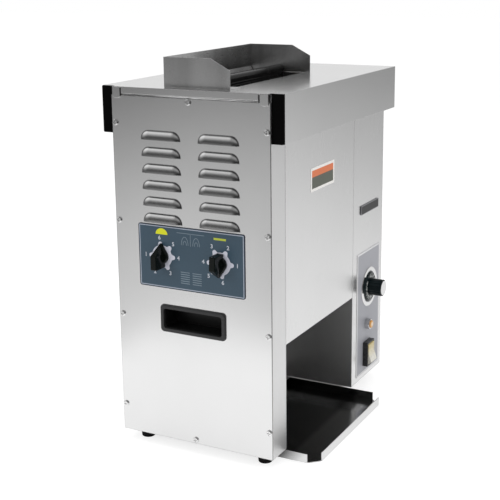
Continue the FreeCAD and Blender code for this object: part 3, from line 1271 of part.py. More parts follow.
def switch_rocker():
    """The rocker with its pivot pins, resting with its top pressed in."""
    half_w = ROCKER_W / 2
    tilt = math.radians(ROCKER_TILT_DEG)
    round_body = rod(ROCKER_R, V(0, -half_w, 0), Y_DIR, ROCKER_W)
    end_out = ROCKER_FACE_OUT + ROCKER_R * math.tan(tilt)
    profile = polygon([V(-ROCKER_FACE_OUT, -half_w, -ROCKER_R), V(end_out, -half_w, -ROCKER_R),
                       V(ROCKER_FACE_OUT, -half_w, 0), V(end_out, -half_w, ROCKER_R),
                       V(-ROCKER_FACE_OUT, -half_w, ROCKER_R)], Y_DIR * ROCKER_W)
    pin_half = SWITCH_W / 2 - SHEET - BODY_GAP
    pins = rod(ROCKER_PIN_R, V(0, -pin_half, 0), Y_DIR, pin_half * 2)
    rocker = fuse([round_body.common(profile), pins])
    rocker.rotate(V(0, 0, 0), Y_DIR, -ROCKER_TILT_DEG)
    rocker.translate(V(ROCKER_X, SWITCH_CENTRE_Y, SWITCH_CENTRE_Z))
    return rocker


def side_badge():
    badge = side_plate(CHAMBER_Y1 + BADGE_Y, BASE_Z + BADGE_RISE, BADGE_W, BADGE_H, BADGE_R, BODY_W, BADGE_T)
    face = [e for e in badge.Edges if e.BoundBox.XMin > BODY_W + BADGE_T / 2]
    return badge.makeFillet(BADGE_EDGE_R, face)


def side_sticker():
    return side_plate(CHAMBER_Y0 + STICKER_Y, BASE_Z + STICKER_RISE, STICKER_W, STICKER_H, STICKER_R,
                      BODY_W, STICKER_T)


# Fan and wiring


def fan_frame():
    """A square duct with a hub on four spokes and a pin for the rotor."""
    x0 = FAN_X - FAN_W / 2
    z0 = FAN_Z - FAN_W / 2
    y0 = REAR_Y1 - FAN_D
    frame = rounded_plate(V(x0, y0, z0), X_DIR, Z_DIR, FAN_W, FAN_W, FAN_CORNER_R, Y_DIR * FAN_D)
    frame = frame.cut(rod(FAN_DUCT_R, V(FAN_X, 0, FAN_Z), Y_DIR, BODY_D))
    spoke_y = y0 + FAN_SPOKE_T
    spokes = [box(FAN_X - FAN_DUCT_R - SHEET, FAN_X + FAN_DUCT_R + SHEET, y0, spoke_y,
                  FAN_Z - FAN_PIN_R, FAN_Z + FAN_PIN_R),
              box(FAN_X - FAN_PIN_R, FAN_X + FAN_PIN_R, y0, spoke_y,
                  FAN_Z - FAN_DUCT_R - SHEET, FAN_Z + FAN_DUCT_R + SHEET)]
    hub = rod(FAN_HUB_R, V(FAN_X, y0, FAN_Z), Y_DIR, FAN_SPOKE_T)
    pin = rod(FAN_PIN_R, V(FAN_X, y0, FAN_Z), Y_DIR, FAN_D - FAN_TIP_GAP * 2)
    return fuse([frame, hub, pin] + spokes)


def fan_rotor():
    """A hub with pitched blades, on the frame's pin."""
    y0 = REAR_Y1 - FAN_D + FAN_SPOKE_T + FAN_TIP_GAP
    y1 = REAR_Y1 - FAN_TIP_GAP
    hub = rod(FAN_HUB_R, V(FAN_X, y0, FAN_Z), Y_DIR, y1 - y0)
    blade_l = FAN_DUCT_R - FAN_TIP_GAP - FAN_HUB_R / 2
    parts = [hub]
    room = rod(FAN_DUCT_R - FAN_TIP_GAP, V(FAN_X, y0, FAN_Z), Y_DIR, y1 - y0)
    middle_y = (y0 + y1) / 2
    for i in range(FAN_BLADES):
        blade = box(FAN_HUB_R / 2, FAN_HUB_R / 2 + blade_l, -FAN_BLADE_T / 2, FAN_BLADE_T / 2,
                    -FAN_BLADE_W / 2, FAN_BLADE_W / 2)
        blade.rotate(V(0, 0, 0), X_DIR, FAN_BLADE_PITCH_DEG)
        blade.rotate(V(0, 0, 0), Y_DIR, 360 * i / FAN_BLADES)
        blade.translate(V(FAN_X, middle_y, FAN_Z))
        parts.append(blade.common(room))
    bore = rod(FAN_PIN_R + RUN_GAP, V(FAN_X, 0, FAN_Z), Y_DIR, y1 - FAN_TIP_GAP)
    return fuse(parts).cut(bore)


def cable_gland():
    """The mains cable's entry: a hexagon head outside, a sleeve and a nut inside."""
    outer_y = BODY_D + GLAND_OUT / 2
    head = hexagon(V(GLAND_X, BODY_D, GLAND_Z), X_DIR, Z_DIR, GLAND_HEX_R, Y_DIR * (GLAND_OUT / 2))
    dome = Part.makeCone(GLAND_R, GLAND_TIP_R, GLAND_OUT / 2, V(GLAND_X, outer_y, GLAND_Z), Y_DIR)
    sleeve = rod(GLAND_R, V(GLAND_X, BODY_D - GLAND_IN, GLAND_Z), Y_DIR, GLAND_IN)
    nut = hexagon(V(GLAND_X, REAR_Y1, GLAND_Z), X_DIR, Z_DIR, GLAND_HEX_R, Y_DIR * (-GLAND_IN / 2))
    bore = rod(GLAND_BORE_R, V(GLAND_X, 0, GLAND_Z), Y_DIR, BODY_D * 2)
    return fuse([head, dome, sleeve, nut]).cut(bore)


# One file for each piece or set of like pieces

NODES = {
    "front_panel": front_panel,
    "front_panel_screws": front_panel_screws,
    "recessed_handle": recessed_handle,
    "knob_plate": knob_plate,
    "crown_knob": lambda: compression_knob(CROWN_X, CROWN_POINTER_DEG),
    "heel_knob": lambda: compression_knob(HEEL_X, HEEL_POINTER_DEG),
    "front_housing": front_housing,
    "front_end_plate": lambda: end_plate(0, BODY_W, CHAMBER_Y0 - PLATE_T, BASE_Z),
    "rear_end_plate": lambda: end_plate(0, BODY_W, CHAMBER_Y1, REAR_BASE_Z),
    "right_side_cover": lambda: side_cover(BODY_W, -1, SIDE_OPEN_Z),
    "left_side_cover": lambda: side_cover(0, 1, BASE_Z),
    "control_housing": control_housing,
    "rear_panel": rear_panel,
    "rear_panel_screws": rear_panel_screws,
    "hood": hood,
    "hood_end_caps": hood_end_caps,
    "tie_bars": tie_bars,
    "left_heat_shield": lambda: heat_shield(CROWN_X - BELT_OUT_R - SHIELD_GAP, -1),
    "right_heat_shield": lambda: heat_shield(HEEL_X + BELT_OUT_R + SHIELD_GAP, 1),
    "base_rail": base_rail,
    "rubber_feet": feet,
    "foot_nuts": foot_nuts,
    "shaft_bushes": end_bushes,
    "crown_drive_roller": lambda: roller(CROWN_X, DRIVE_Z, GEAR_Y0 + GEAR_HUB_L),
    "heel_drive_roller": lambda: roller(HEEL_X, DRIVE_Z, GEAR_Y0 + GEAR_HUB_L),
    "crown_idler_roller": lambda: roller(CROWN_X, IDLER_Z, SHAFT_Y1),
    "heel_idler_roller": lambda: roller(HEEL_X, IDLER_Z, SHAFT_Y1),
    "crown_belt": lambda: belt(CROWN_X),
    "heel_belt": lambda: belt(HEEL_X),
    "crown_drive_gear": crown_drive_gear,
    "heel_drive_gear": heel_drive_gear,
    "motor_pinion": motor_pinion,
    "motor_bracket": motor_bracket,
    "gear_motor": gear_motor,
    "crown_cam_shaft": lambda: cam_shaft(CROWN_X, 1),
    "heel_cam_shaft": lambda: cam_shaft(HEEL_X, -1),
    "crown_compression_plate": lambda: compression_plate(CROWN_X, 1),
    "heel_compression_plate": lambda: compression_plate(HEEL_X, -1),
    "platen_faces": platen_faces,
    "platen_end_bars": platen_end_bars,
    "heating_element": heating_element,
    "release_sheet": release_sheet,
    "slot_divider": slot_divider,
    "bun_feeder": bun_feeder,
    "bun_chute": bun_chute,
    "landing_tray": landing_tray,
    "control_label_plate": control_label_plate,
    "dial_ring": dial_ring,
    "thermostat_knob": thermostat_knob,
    "thermostat_knob_cap": knob_cap,
    "thermostat_body": thermostat_body,
    "lamp_body": lamp_body,
    "lamp_lens": lamp_lens,
    "switch_body": switch_body,
    "switch_rocker": switch_rocker,
    "side_badge": side_badge,
    "side_sticker": side_sticker,
    "fan_frame": fan_frame,
    "fan_rotor": fan_rotor,
    "cable_gland": cable_gland,
}

for node, make in NODES.items():
    shape = make()
    if isinstance(shape, list):
        shape = Part.makeCompound(shape)
    shape.translate(V(-ORIGIN_X, -ORIGIN_Y, 0))
    shape.exportStep(f"parts/{node}.step")
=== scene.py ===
import json
import math

import bpy
from mathutils import Matrix, Vector


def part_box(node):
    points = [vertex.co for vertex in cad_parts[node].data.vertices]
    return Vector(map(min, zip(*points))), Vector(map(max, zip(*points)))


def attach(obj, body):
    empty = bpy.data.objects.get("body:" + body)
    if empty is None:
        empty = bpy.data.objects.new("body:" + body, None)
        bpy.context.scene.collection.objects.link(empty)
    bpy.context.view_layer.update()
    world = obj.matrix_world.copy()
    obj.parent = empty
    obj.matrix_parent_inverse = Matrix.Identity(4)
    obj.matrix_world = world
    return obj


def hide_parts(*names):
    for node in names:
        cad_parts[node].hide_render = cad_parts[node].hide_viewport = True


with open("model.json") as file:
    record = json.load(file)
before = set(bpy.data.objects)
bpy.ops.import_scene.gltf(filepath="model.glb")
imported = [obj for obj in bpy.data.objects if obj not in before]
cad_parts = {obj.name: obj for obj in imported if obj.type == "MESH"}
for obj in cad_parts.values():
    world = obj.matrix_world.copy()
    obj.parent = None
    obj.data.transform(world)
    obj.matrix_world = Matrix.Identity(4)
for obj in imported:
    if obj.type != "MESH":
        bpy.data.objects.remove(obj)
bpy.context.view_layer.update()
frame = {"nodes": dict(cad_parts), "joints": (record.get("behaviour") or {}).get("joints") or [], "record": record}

# Units: metres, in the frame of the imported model, with the front panel facing -y and the open side +x.
MM = 0.001

# Camera, fitted to the corners of the panels in the photograph
PICTURE_PX = 500
SENSOR_W_MM = 36
FOCAL_PX = 1078.8
CAMERA_PLACE = (0.7837, -1.5321, 0.7419)
CAMERA_AZIMUTH_DEG = 27.96
CAMERA_DOWN_DEG = 12.98
CAMERA_ROLL_DEG = -0.66
CAMERA_SHIFT_SHARE = -0.08

# Studio: the pale table ends a little way in front of and beside the object
TABLE_HALF_X = 0.40
TABLE_HALF_Y = 0.70
TABLE_CENTRE_Y = -0.02
FLOOR_R = 12.0
# Painted shadow on the floor: under the whole machine in mirrors, and under the control housing for the camera
UNDER_SOFT = 0.02
CONTROL_SHADE_INSET = 0.034
CONTROL_SHADE_SOFT = 0.008
CONTROL_SHADE_TONE = (0.22, 0.22, 0.22)
UNDER_SHADOW_TONE = (0.04, 0.04, 0.04)
FLOOR_TONE = (0.80, 0.80, 0.80)
WHITE = (1.0, 1.0, 1.0)
NO_LIGHT = (0.0, 0.0, 0.0)
FLOOR_GLOW = 0.76
FLOOR_DIFFUSE_SHARE = 0.42
WORLD_LIGHT = 0.62
AIM_POINT = (0, 0, 0.3)
TOP_LIGHT_SIZE = 2.4
TOP_LIGHT_W = 20.0
TOP_LIGHT_PLACE = (0.0, -0.1, 2.3)
KEY_LIGHT_SIZE = 1.1
KEY_LIGHT_W = 12.0
KEY_LIGHT_PLACE = (-1.3, -1.9, 1.5)
FILL_LIGHT_SIZE = 1.6
FILL_LIGHT_W = 9.0
FILL_LIGHT_PLACE = (2.2, -0.2, 1.0)

# Grey levels that the steel mirrors, as (place, tone): the floor in front by its distance in table halves,
# the floor behind by its depth, and the sky by the sine of its height
TONE_REACH = 10.0
FRONT_FLOOR_TONES = (
    (0.72, 0.92), (0.92, 0.98), (1.07, 0.66), (1.6, 0.59), (2.5, 0.54), (4.0, 0.47), (5.5, 0.37), (8.0, 0.16))
REAR_FLOOR_TONES = (
    (0.2, 0.80), (0.6, 0.74), (1.4, 0.68), (2.4, 0.63), (3.4, 0.61), (4.2, 0.54), (4.8, 0.46), (6.0, 0.42))
FRONT_SKY_TONES = (
    (0.0, 0.04), (0.16, 0.06), (0.34, 0.26), (0.60, 0.34), (0.80, 0.20), (0.90, 0.08))
REAR_SKY_TONES = (
    (0.0, 0.84), (0.35, 0.80), (0.70, 0.45), (0.90, 0.14))
SOFTBOX_WAY = (-0.77, -0.36, 0.52)

# Fades of those levels, each as (start, end, value at the start, value at the end); the shades go by a
# place's lean, its x over its distance along y
LEAST_DEPTH = 0.1
LEFT_SHADE = (-0.76, -0.56, 0.18, 0.0)
RIGHT_SHADE = (-0.35, 0.15, 0.0, 0.9)
RIGHT_SHADE_START = (0.95, 1.6, 0.0, 1.0)
REAR_SHADE = (0.45, 0.65, 0.30, 0.0)
FAR_FLOOR = (1.0, 4.0, 0.0, 1.0)
FLOOR_TO_REAR = (-0.3, 0.4, 0.0, 1.0)
SKY_TO_REAR = (-0.1, 0.3, 0.0, 1.0)
REAR_SKY_SHADE = (-0.1, 0.3, 0.0, 0.45)
SOFTBOX_GLOW = (0.80, 0.97, 0.0, 0.55)

# Prints on the knob plate, measured from the centre of a dial or the point midway between the two
PRINT_T = 0.12 * MM
STAR_R = 17.4 * MM
STAR_TIP_R = 22.6 * MM
STAR_TIP_WIDTH_DEG = 11
STAR_TIP_POWER = 4
STAR_STEP_DEG = 3
DIGIT_R = 28.6 * MM
DIGIT_SIZE = 8.6 * MM
DIGIT_ANGLES_DEG = (0, 62, 119, 180, 226, 278)
DOME_W = 20.8 * MM
DOME_H = 9.4 * MM
DOME_RISE = 34 * MM
BAR_W = 20.6 * MM
BAR_H = 3.2 * MM
BAR_RISE = 37 * MM
DASH_ROWS = 6
DASH_COLUMNS = 2
DASH_W = 15.5 * MM
DASH_H = 1.3 * MM
DASH_GAP = 5 * MM
DASH_TOP = -20.5 * MM
DASH_PITCH = 3.4 * MM
LETTER_BOLD_SHARE = 0.025
LETTER_STEPS = 3
STROKE_W = 0.9 * MM
ARCH_W = 11.5 * MM
ARCH_H = 12.5 * MM
ARCH_BASE = 21.5 * MM
ARCH_OFF = 9.8 * MM
ARCH_SHARES = (1.0, 0.5)
ARCH_STEPS = 16
POST_H = 18 * MM
RAIL_W = 47 * MM

# Louvers of the front panel: painted shade runs round each in a dark line and fills its mouth
LOUVER_ROWS = 6
LOUVER_HALF_L = 33.15 * MM
LOUVER_H = 13.3 * MM
LOUVER_END = 12.5 * MM
LOUVER_PITCH = 24.95 * MM
LOUVER_TOP_DROP = 50 * MM
LOUVER_HALF_COLUMNS = 48.6 * MM
LOUVER_MARGIN = 4 * MM
LOUVER_OUT = 5 * MM
# Painted shade along the bend at the front panel's right edge: its width and its darkness
PANEL_EDGE_SHADE_W = 0.9 * MM
PANEL_EDGE_SHADE_SHARE = 0.7

# Painted shade of the louvers: heights are shares of the louver's own, and fades are (start, end, value at
# the start, value at the end)
LOUVER_ABOVE = (-0.10, 0.0, 0.0, 1.0)
LOUVER_LINE = (0.93, 1.07)
LOUVER_LINE_SOFT_SHARE = 0.05
LOUVER_LINE_SHARE = 0.72
LOUVER_MOUTH = (0.0, 0.55, 0.62, 0.0)
LOUVER_PROUD_START = 0.3 * MM
LOUVER_PROUD_END = 1 * MM
LOUVER_ROW_SOFT_SHARE = 0.01

# Rolled hem along the lower edge of the hood's front bar
HEM_R = 1.0 * MM
HEM_OUT = 0.5 * MM
HEM_RISE = 1.8 * MM
HEM_INSET = 18 * MM
HEM_SIDES = 16

# Release cloth stretched over the platen
CLOTH_T = 0.5 * MM
CLOTH_STEPS = 24

# Numbers on the skirt of the thermostat dial
SCALE_FIRST = 50
SCALE_STEP = 25
SCALE_COUNT = 11
SCALE_SWEEP_DEG = 300
SCALE_R = 18.2 * MM
SCALE_SIZE = 4.9 * MM
TICK_R = 21.8 * MM
TICK_L = 2.0 * MM
TICK_W = 0.9 * MM
TICKS_PER_STEP = 2
SKIRT_FACE_OUT = 3.6 * MM

# Stretch of a noise that holds nearly all its values
NOISE_STRETCH = (0.3, 0.7)

# Rounding of edges in the shading
PANEL_EDGE = 1.5 * MM
HOOD_EDGE = 1.4 * MM
COVER_EDGE = 1.2 * MM
SOFT_EDGE = 0.8 * MM
SHEET_EDGE = 0.7 * MM
MOULDED_EDGE = 0.6 * MM
SMALL_EDGE = 0.4 * MM
FINE_EDGE = 0.3 * MM
STICKER_EDGE = 0.2 * MM

# Depth of the grain in the shading
POLISHED_GRAIN = 0.01 * MM
FINE_GRAIN = 0.02 * MM
MOULDED_GRAIN = 0.03 * MM
PAINT_GRAIN = 0.05 * MM
RUBBER_GRAIN = 0.06 * MM
CLOTH_GRAIN = 0.1 * MM

# Brushed steel: the grain runs along one axis, and with the smudges it varies the roughness about its mean
GRAIN_ALONG = {"y": (1, 0.02, 1), "z": (1, 1, 0.02)}
GRAIN_ROUGH_SHARE = 0.06
SMUDGE_ROUGH_SHARE = 0.04
MEAN_ROUGH_SHARE = 0.05
# Dark that painted shade, and the feeder's streaks, blend the steel towards
STEEL_DARK = (0.02, 0.02, 0.02)

# Moulded plastic: handling makes it this much smoother and rougher
SMOOTHER_SHARE = 0.05
ROUGHER_SHARE = 0.07

# Feeder: upright streaks, and shade on its front wall and towards its rear
FEEDER_STREAK_STRETCH = (1, 1, 0.12)
FEEDER_STREAKS = (0.38, 0.62, 0.0, 0.18)
FEEDER_SHEET = 1.4 * MM
FEEDER_SOFT = 0.2 * MM
FEEDER_FRONT_SHARE = 0.06
FEEDER_REAR_START = 14 * MM
FEEDER_REAR_END = 2 * MM
FEEDER_REAR_SHARE = 0.26

# Handle: painted shade in its well; depths behind its face where the rim ends and where that shade is full
HANDLE_RIM_DEPTH = 3 * MM
HANDLE_WELL_DEPTH = 9 * MM
HANDLE_RIM_GREYS = ((0.018, 0.018, 0.019), (0.028, 0.028, 0.029))
HANDLE_SHADED_WELL_GREYS = ((0.004, 0.004, 0.004), (0.008, 0.008, 0.008))

# Printed plates: corner radii, lines and rims measured inwards from the outline, and colours
PAST_OUTLINE = 2 * MM
LINE_SOFT = 0.1 * MM
KNOB_PLATE_CORNER = 3 * MM
KNOB_PLATE_LINE_IN = 2.9 * MM
KNOB_PLATE_LINE_OUT = 1.7 * MM
KNOB_PLATE_RIM_W = 1.0 * MM
KNOB_PLATE_BLUES = ((0.029, 0.058, 0.086), (0.050, 0.092, 0.132))
KNOB_PLATE_FLECK = (0.09, 0.145, 0.195)
KNOB_PLATE_FLECK_SHARE = 0.18
KNOB_PLATE_LINE = (0.42, 0.46, 0.54)
KNOB_PLATE_RIM = (0.025, 0.030, 0.050)
LABEL_CORNER = 3 * MM
LABEL_RIM_W = 3.4 * MM
LABEL_RIM_SOFT = 0.3 * MM
LABEL_GREYS = ((0.33, 0.335, 0.37), (0.43, 0.435, 0.47))
LABEL_FLECK = (0.52, 0.52, 0.55)
LABEL_FLECK_SHARE = 0.15
LABEL_RIM = (0.76, 0.76, 0.77)
STICKER_CORNER = 1 * MM
STICKER_RIM_W = 4.2 * MM
STICKER_RIM_SOFT = 0.3 * MM
STICKER_SPLIT_SHARE = 0.60
STICKER_SPLIT_SOFT = 0.2 * MM
STICKER_ORANGES = ((0.74, 0.17, 0.060), (0.82, 0.23, 0.085))
STICKER_DARKS = ((0.085, 0.095, 0.070), (0.125, 0.135, 0.105))
STICKER_WHITE = (0.94, 0.92, 0.89)
BADGE_CORNER = 2 * MM
BADGE_RIM_W = 1.3 * MM
BADGE_RIM_SOFT = 0.2 * MM
BADGE_BLACKS = ((0.010, 0.010, 0.011), (0.024, 0.024, 0.026))
BADGE_RIM = (0.36, 0.36, 0.38)
BADGE_SHINE_SHARE = 0.35

# Landing tray: bright edges, painted shade darkening its inside, and a painted reflection as a paler strip
# along the outer lip
TRAY_SHEET = 1.6 * MM
TRAY_SOFT = 0.2 * MM
TRAY_REAR_SHARE = 0.92
TRAY_STRIP_START = 56 * MM
TRAY_STRIP_END = 46 * MM
TRAY_BARE = ((0.74, 0.74, 0.74), (0.84, 0.84, 0.84))
TRAY_SHADED = ((0.18, 0.18, 0.18), (0.27, 0.27, 0.27))
TRAY_REFLECTION_STRIP = (0.46, 0.46, 0.46)

# Lamp lens: a pale core in an amber ring
LENS_CORE_R = 2.2 * MM
LENS_RING_R = 4.6 * MM
LENS_CORE = (0.80, 0.74, 0.60)
LENS_AMBER = (0.78, 0.36, 0.08)
LENS_GLINT = (0.9, 0.62, 0.30)
LENS_GLINT_SHARE = 0.25
LENS_COAT_SHARE = 0.6

# Switch rocker: cream below, amber at its top
ROCKER_CREAM = (0.82, 0.80, 0.72)
ROCKER_AMBER = (0.62, 0.50, 0.20)
ROCKER_CHANGE = (0.45, 1.0, 0.0, 1.0)
ROCKER_MOTTLE_SHARE = 0.25
ROCKER_COAT_SHARE = 0.4

# Release cloth's weave
WEAVE_SCALE = 420.0
WEAVE_ROUGH_SHARES = (0.35, 0.55)
WEAVE_BROWNS = ((0.16, 0.10, 0.055), (0.30, 0.20, 0.12))


# Small helpers for node trees
def put(tree, kind, props=None, **inputs):
    made = tree.nodes.new(kind)
    for key, value in (props or {}).items():
        setattr(made, key, value)
    for key, value in inputs.items():
        feed(tree, made.inputs[key.replace("_", " ")], value)
    return made


def feed(tree, socket, value):
    if isinstance(value, bpy.types.NodeSocket):
        tree.links.new(value, socket)
    else:
        socket.default_value = value


def calc(tree, operation, first, second=0.0, clamp=False):
    made = put(tree, "ShaderNodeMath", {"operation": operation, "use_clamp": clamp})
    feed(tree, made.inputs[0], first)
    feed(tree, made.inputs[1], second)
    return made.outputs[0]


def blend_colour(tree, share, low, high):
    made = put(tree, "ShaderNodeMix", {"data_type": "RGBA"})
    feed(tree, made.inputs[0], share)
    feed(tree, made.inputs[6], opaque(low))
    feed(tree, made.inputs[7], opaque(high))
    return made.outputs[2]


def opaque(colour):
    return colour if isinstance(colour, bpy.types.NodeSocket) else (*colour, 1.0)


def remap(tree, value, low, high, new_low, new_high):
    made = put(tree, "ShaderNodeMapRange", {"clamp": True}, Value=value)
    for key, number in (("From Min", low), ("From Max", high), ("To Min", new_low), ("To Max", new_high)):
        made.inputs[key].default_value = number
    return made.outputs[0]


def ramp(tree, value, stops, reach=1.0):
    made = put(tree, "ShaderNodeValToRGB", Fac=calc(tree, "DIVIDE", value, reach))
    marks = made.color_ramp.elements
    while len(marks) < len(stops):
        marks.new(1.0)
    for mark, (place, tone) in zip(marks, stops):
        mark.position = place / reach
        mark.color = (tone, tone, tone, 1.0)
    return made.outputs[0]


def surface(name):
    material = bpy.data.materials.new(name)
    material.use_nodes = True
    tree = material.node_tree
    return material, tree, tree.nodes["Principled BSDF"]


def place_of(tree):
    return put(tree, "ShaderNodeTexCoord").outputs["Object"]


def axes_of(tree):
    return put(tree, "ShaderNodeSeparateXYZ", Vector=place_of(tree)).outputs


def noise(tree, scale, detail=2.0, stretch=(1, 1, 1), seed=0.0):
    mapped = put(tree, "ShaderNodeMapping", Vector=place_of(tree), Scale=stretch, Location=(seed, seed, seed))
    made = put(tree, "ShaderNodeTexNoise", Vector=mapped.outputs[0], Scale=scale, Detail=detail)
    return made.outputs["Fac"]


def shade(colour, share):
    return tuple(min(1.0, part * share) for part in colour)


# Parts of the materials
def rounded_normal(tree, shader, radius, height, strength, distance):
    bevel = put(tree, "ShaderNodeBevel", {"samples": 4}, Radius=radius)
    bump = put(
        tree, "ShaderNodeBump", Height=height, Normal=bevel.outputs[0], Strength=strength, Distance=distance)
    feed(tree, shader.inputs["Normal"], bump.outputs[0])


def finish(tree, shader, colours, worn, rough, edge, grain, strength, depth):
    feed(tree, shader.inputs["Base Color"], colours)
    feed(tree, shader.inputs["Roughness"], remap(tree, worn, *NOISE_STRETCH, *rough))
    rounded_normal(tree, shader, edge, grain, strength=strength, distance=depth)


def band(tree, value, low, high, soft=LINE_SOFT):
    rise = remap(tree, value, low - soft, low + soft, 0.0, 1.0)
    fall = remap(tree, value, high - soft, high + soft, 1.0, 0.0)
    return calc(tree, "MULTIPLY", rise, fall)


def distance_of(tree, first, second):
    squares = [calc(tree, "MULTIPLY", part, part) for part in (first, second)]
    return calc(tree, "SQRT", calc(tree, "ADD", *squares))


def off_middle(tree, node, along):
    low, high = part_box(node)
    axes = axes_of(tree)
    indices = ["xyz".index(axis) for axis in along]
    return [calc(tree, "SUBTRACT", axes[index], (low[index] + high[index]) / 2) for index in indices]


def plate_distance(tree, node, along, radius):
    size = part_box(node)[1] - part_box(node)[0]
    reach = []
    for axis, off in zip(along, off_middle(tree, node, along)):
        half = size["xyz".index(axis)] / 2
        reach.append(calc(tree, "SUBTRACT", calc(tree, "ABSOLUTE", off), half - radius))
    outer = [calc(tree, "MAXIMUM", part, 0.0) for part in reach]
    inner = calc(tree, "MINIMUM", calc(tree, "MAXIMUM", *reach), 0.0)
    return calc(tree, "SUBTRACT", calc(tree, "ADD", distance_of(tree, *outer), inner), radius)


# Painted shade on the front panel: round each louver, in each louver's mouth and along the bend of its right edge
def louver_dark(tree):
    low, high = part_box("front_panel")
    axes = axes_of(tree)
    off = calc(tree, "ABSOLUTE", calc(tree, "SUBTRACT", axes[0], (low.x + high.x) / 2))
    off = calc(tree, "ABSOLUTE", calc(tree, "SUBTRACT", off, LOUVER_HALF_COLUMNS))
    drop = calc(tree, "SUBTRACT", high.z - LOUVER_TOP_DROP + LOUVER_MARGIN, axes[2])
    row = calc(tree, "DIVIDE", drop, LOUVER_PITCH)
    depth = calc(tree, "MULTIPLY", calc(tree, "FRACT", row), LOUVER_PITCH)
    depth = calc(tree, "SUBTRACT", depth, LOUVER_MARGIN)
    rise = calc(tree, "DIVIDE", calc(tree, "SUBTRACT", LOUVER_H, depth), LOUVER_H)
    past = calc(tree, "MAXIMUM", calc(tree, "SUBTRACT", off, LOUVER_HALF_L - LOUVER_END), 0.0)
    past = calc(tree, "DIVIDE", past, LOUVER_END)
    reach = distance_of(tree, past, rise)
    # painted shade: a dark line round each louver's face, and shade filling its mouth
    above = calc(tree, "MULTIPLY", remap(tree, rise, *LOUVER_ABOVE), LOUVER_LINE_SHARE)
    line = calc(tree, "MULTIPLY", band(tree, reach, *LOUVER_LINE, soft=LOUVER_LINE_SOFT_SHARE), above)
    face_y = low.y + LOUVER_OUT
    proud = remap(tree, axes[1], face_y - LOUVER_PROUD_END, face_y - LOUVER_PROUD_START, 1.0, 0.0)
    mouth = calc(tree, "MULTIPLY", remap(tree, rise, *LOUVER_MOUTH), proud)
    rows = band(tree, row, 0.0, LOUVER_ROWS, soft=LOUVER_ROW_SOFT_SHARE)
    shaded = calc(tree, "MULTIPLY", calc(tree, "MAXIMUM", line, mouth), rows)
    # painted shade along the bend at the panel's right edge
    edge_x = high.x - PANEL_EDGE_SHADE_W
    edge = remap(tree, axes[0], edge_x, edge_x + PANEL_EDGE_SHADE_W / 2, 0.0, PANEL_EDGE_SHADE_SHARE)
    return calc(tree, "MAXIMUM", shaded, edge)


def feeder_dark(tree):
    low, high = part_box("bun_feeder")
    axes = axes_of(tree)
    streaky = noise(tree, scale=28.0, detail=3.0, stretch=FEEDER_STREAK_STRETCH, seed=2.0)
    inside_y = low.y + FEEDER_SHEET
    front = remap(tree, axes[1], inside_y, inside_y + FEEDER_SOFT, FEEDER_FRONT_SHARE, 0.0)
    rear = remap(
        tree, axes[1], high.y - FEEDER_REAR_START, high.y - FEEDER_REAR_END, 0.0, FEEDER_REAR_SHARE)
    shaded = calc(tree, "MAXIMUM", front, rear)
    return calc(tree, "ADD", remap(tree, streaky, *FEEDER_STREAKS), shaded, clamp=True)


# Materials
def steel(name, colour, roughness, grain="z", grain_scale=2600, cloud_share=0.03, edge=SHEET_EDGE, seed=0.0,
          dark_share=None):
    material, tree, shader = surface(name)
    streak = noise(tree, grain_scale, stretch=GRAIN_ALONG[grain], seed=seed)
    cloudy = noise(tree, scale=6.0, seed=seed)
    smudge = noise(tree, scale=30.0, detail=3.0, seed=seed)
    tone = calc(tree, "ADD", calc(tree, "MULTIPLY", streak, 0.5), calc(tree, "MULTIPLY", cloudy, 0.5))
    colours = blend_colour(
        tree, remap(tree, tone, *NOISE_STRETCH, 0.0, 1.0),
        shade(colour, 1 - cloud_share), shade(colour, 1 + cloud_share))
    # dark_share paints shade into the colour: the louvers' shade, and the feeder's shade with its streaks
    if dark_share is not None:
        colours = blend_colour(tree, dark_share(tree), colours, STEEL_DARK)
    feed(tree, shader.inputs["Base Color"], colours)
    shader.inputs["Metallic"].default_value = 1.0
    rough = calc(
        tree, "ADD",
        calc(tree, "MULTIPLY", streak, GRAIN_ROUGH_SHARE),
        calc(tree, "MULTIPLY", smudge, SMUDGE_ROUGH_SHARE))
    feed(tree, shader.inputs["Roughness"], calc(tree, "ADD", rough, roughness - MEAN_ROUGH_SHARE))
    rounded_normal(tree, shader, edge, streak, strength=0.10, distance=POLISHED_GRAIN)
    return material


def plastic(name, colour, roughness, grain_scale=900.0, grain_depth=MOULDED_GRAIN, edge=MOULDED_EDGE,
            vary_share=0.15, shine=0.5):
    material, tree, shader = surface(name)
    shader.inputs["Specular IOR Level"].default_value = shine
    grain = noise(tree, grain_scale)
    handled = noise(tree, scale=60.0, detail=3.0)
    colours = blend_colour(tree, handled, shade(colour, 1 - vary_share), shade(colour, 1 + vary_share))
    rough = (roughness - SMOOTHER_SHARE, roughness + ROUGHER_SHARE)
    finish(
        tree, shader, colours, worn=handled, rough=rough,
        edge=edge, grain=grain, strength=0.3, depth=grain_depth)
    return material


def rubber(name, colour):
    return plastic(
        name, colour, roughness=0.62, grain_scale=1400.0, grain_depth=RUBBER_GRAIN,
        vary_share=0.25, shine=0.2)


def painted(name, colour, roughness):
    return plastic(
        name, colour, roughness, grain_scale=320.0, grain_depth=PAINT_GRAIN, vary_share=0.06)


def ink(name, colour, roughness=0.4, vary_share=0.05):
    return plastic(name, colour, roughness, vary_share=vary_share)


def handle_plastic():
    material, tree, shader = surface("handle_plastic")
    face_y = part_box("recessed_handle")[0].y
    # painted shade: the colour darkens from the rim into the well
    well_shade = remap(tree, axes_of(tree)[1], face_y + HANDLE_RIM_DEPTH, face_y + HANDLE_WELL_DEPTH, 0.0, 1.0)
    grain = noise(tree, scale=900.0)
    rim = blend_colour(tree, grain, *HANDLE_RIM_GREYS)
    well = blend_colour(tree, grain, *HANDLE_SHADED_WELL_GREYS)
    colours = blend_colour(tree, well_shade, rim, well)
    finish(
        tree, shader, colours, worn=grain, rough=(0.36, 0.46),
        edge=SOFT_EDGE, grain=grain, strength=0.3, depth=MOULDED_GRAIN)
    return material


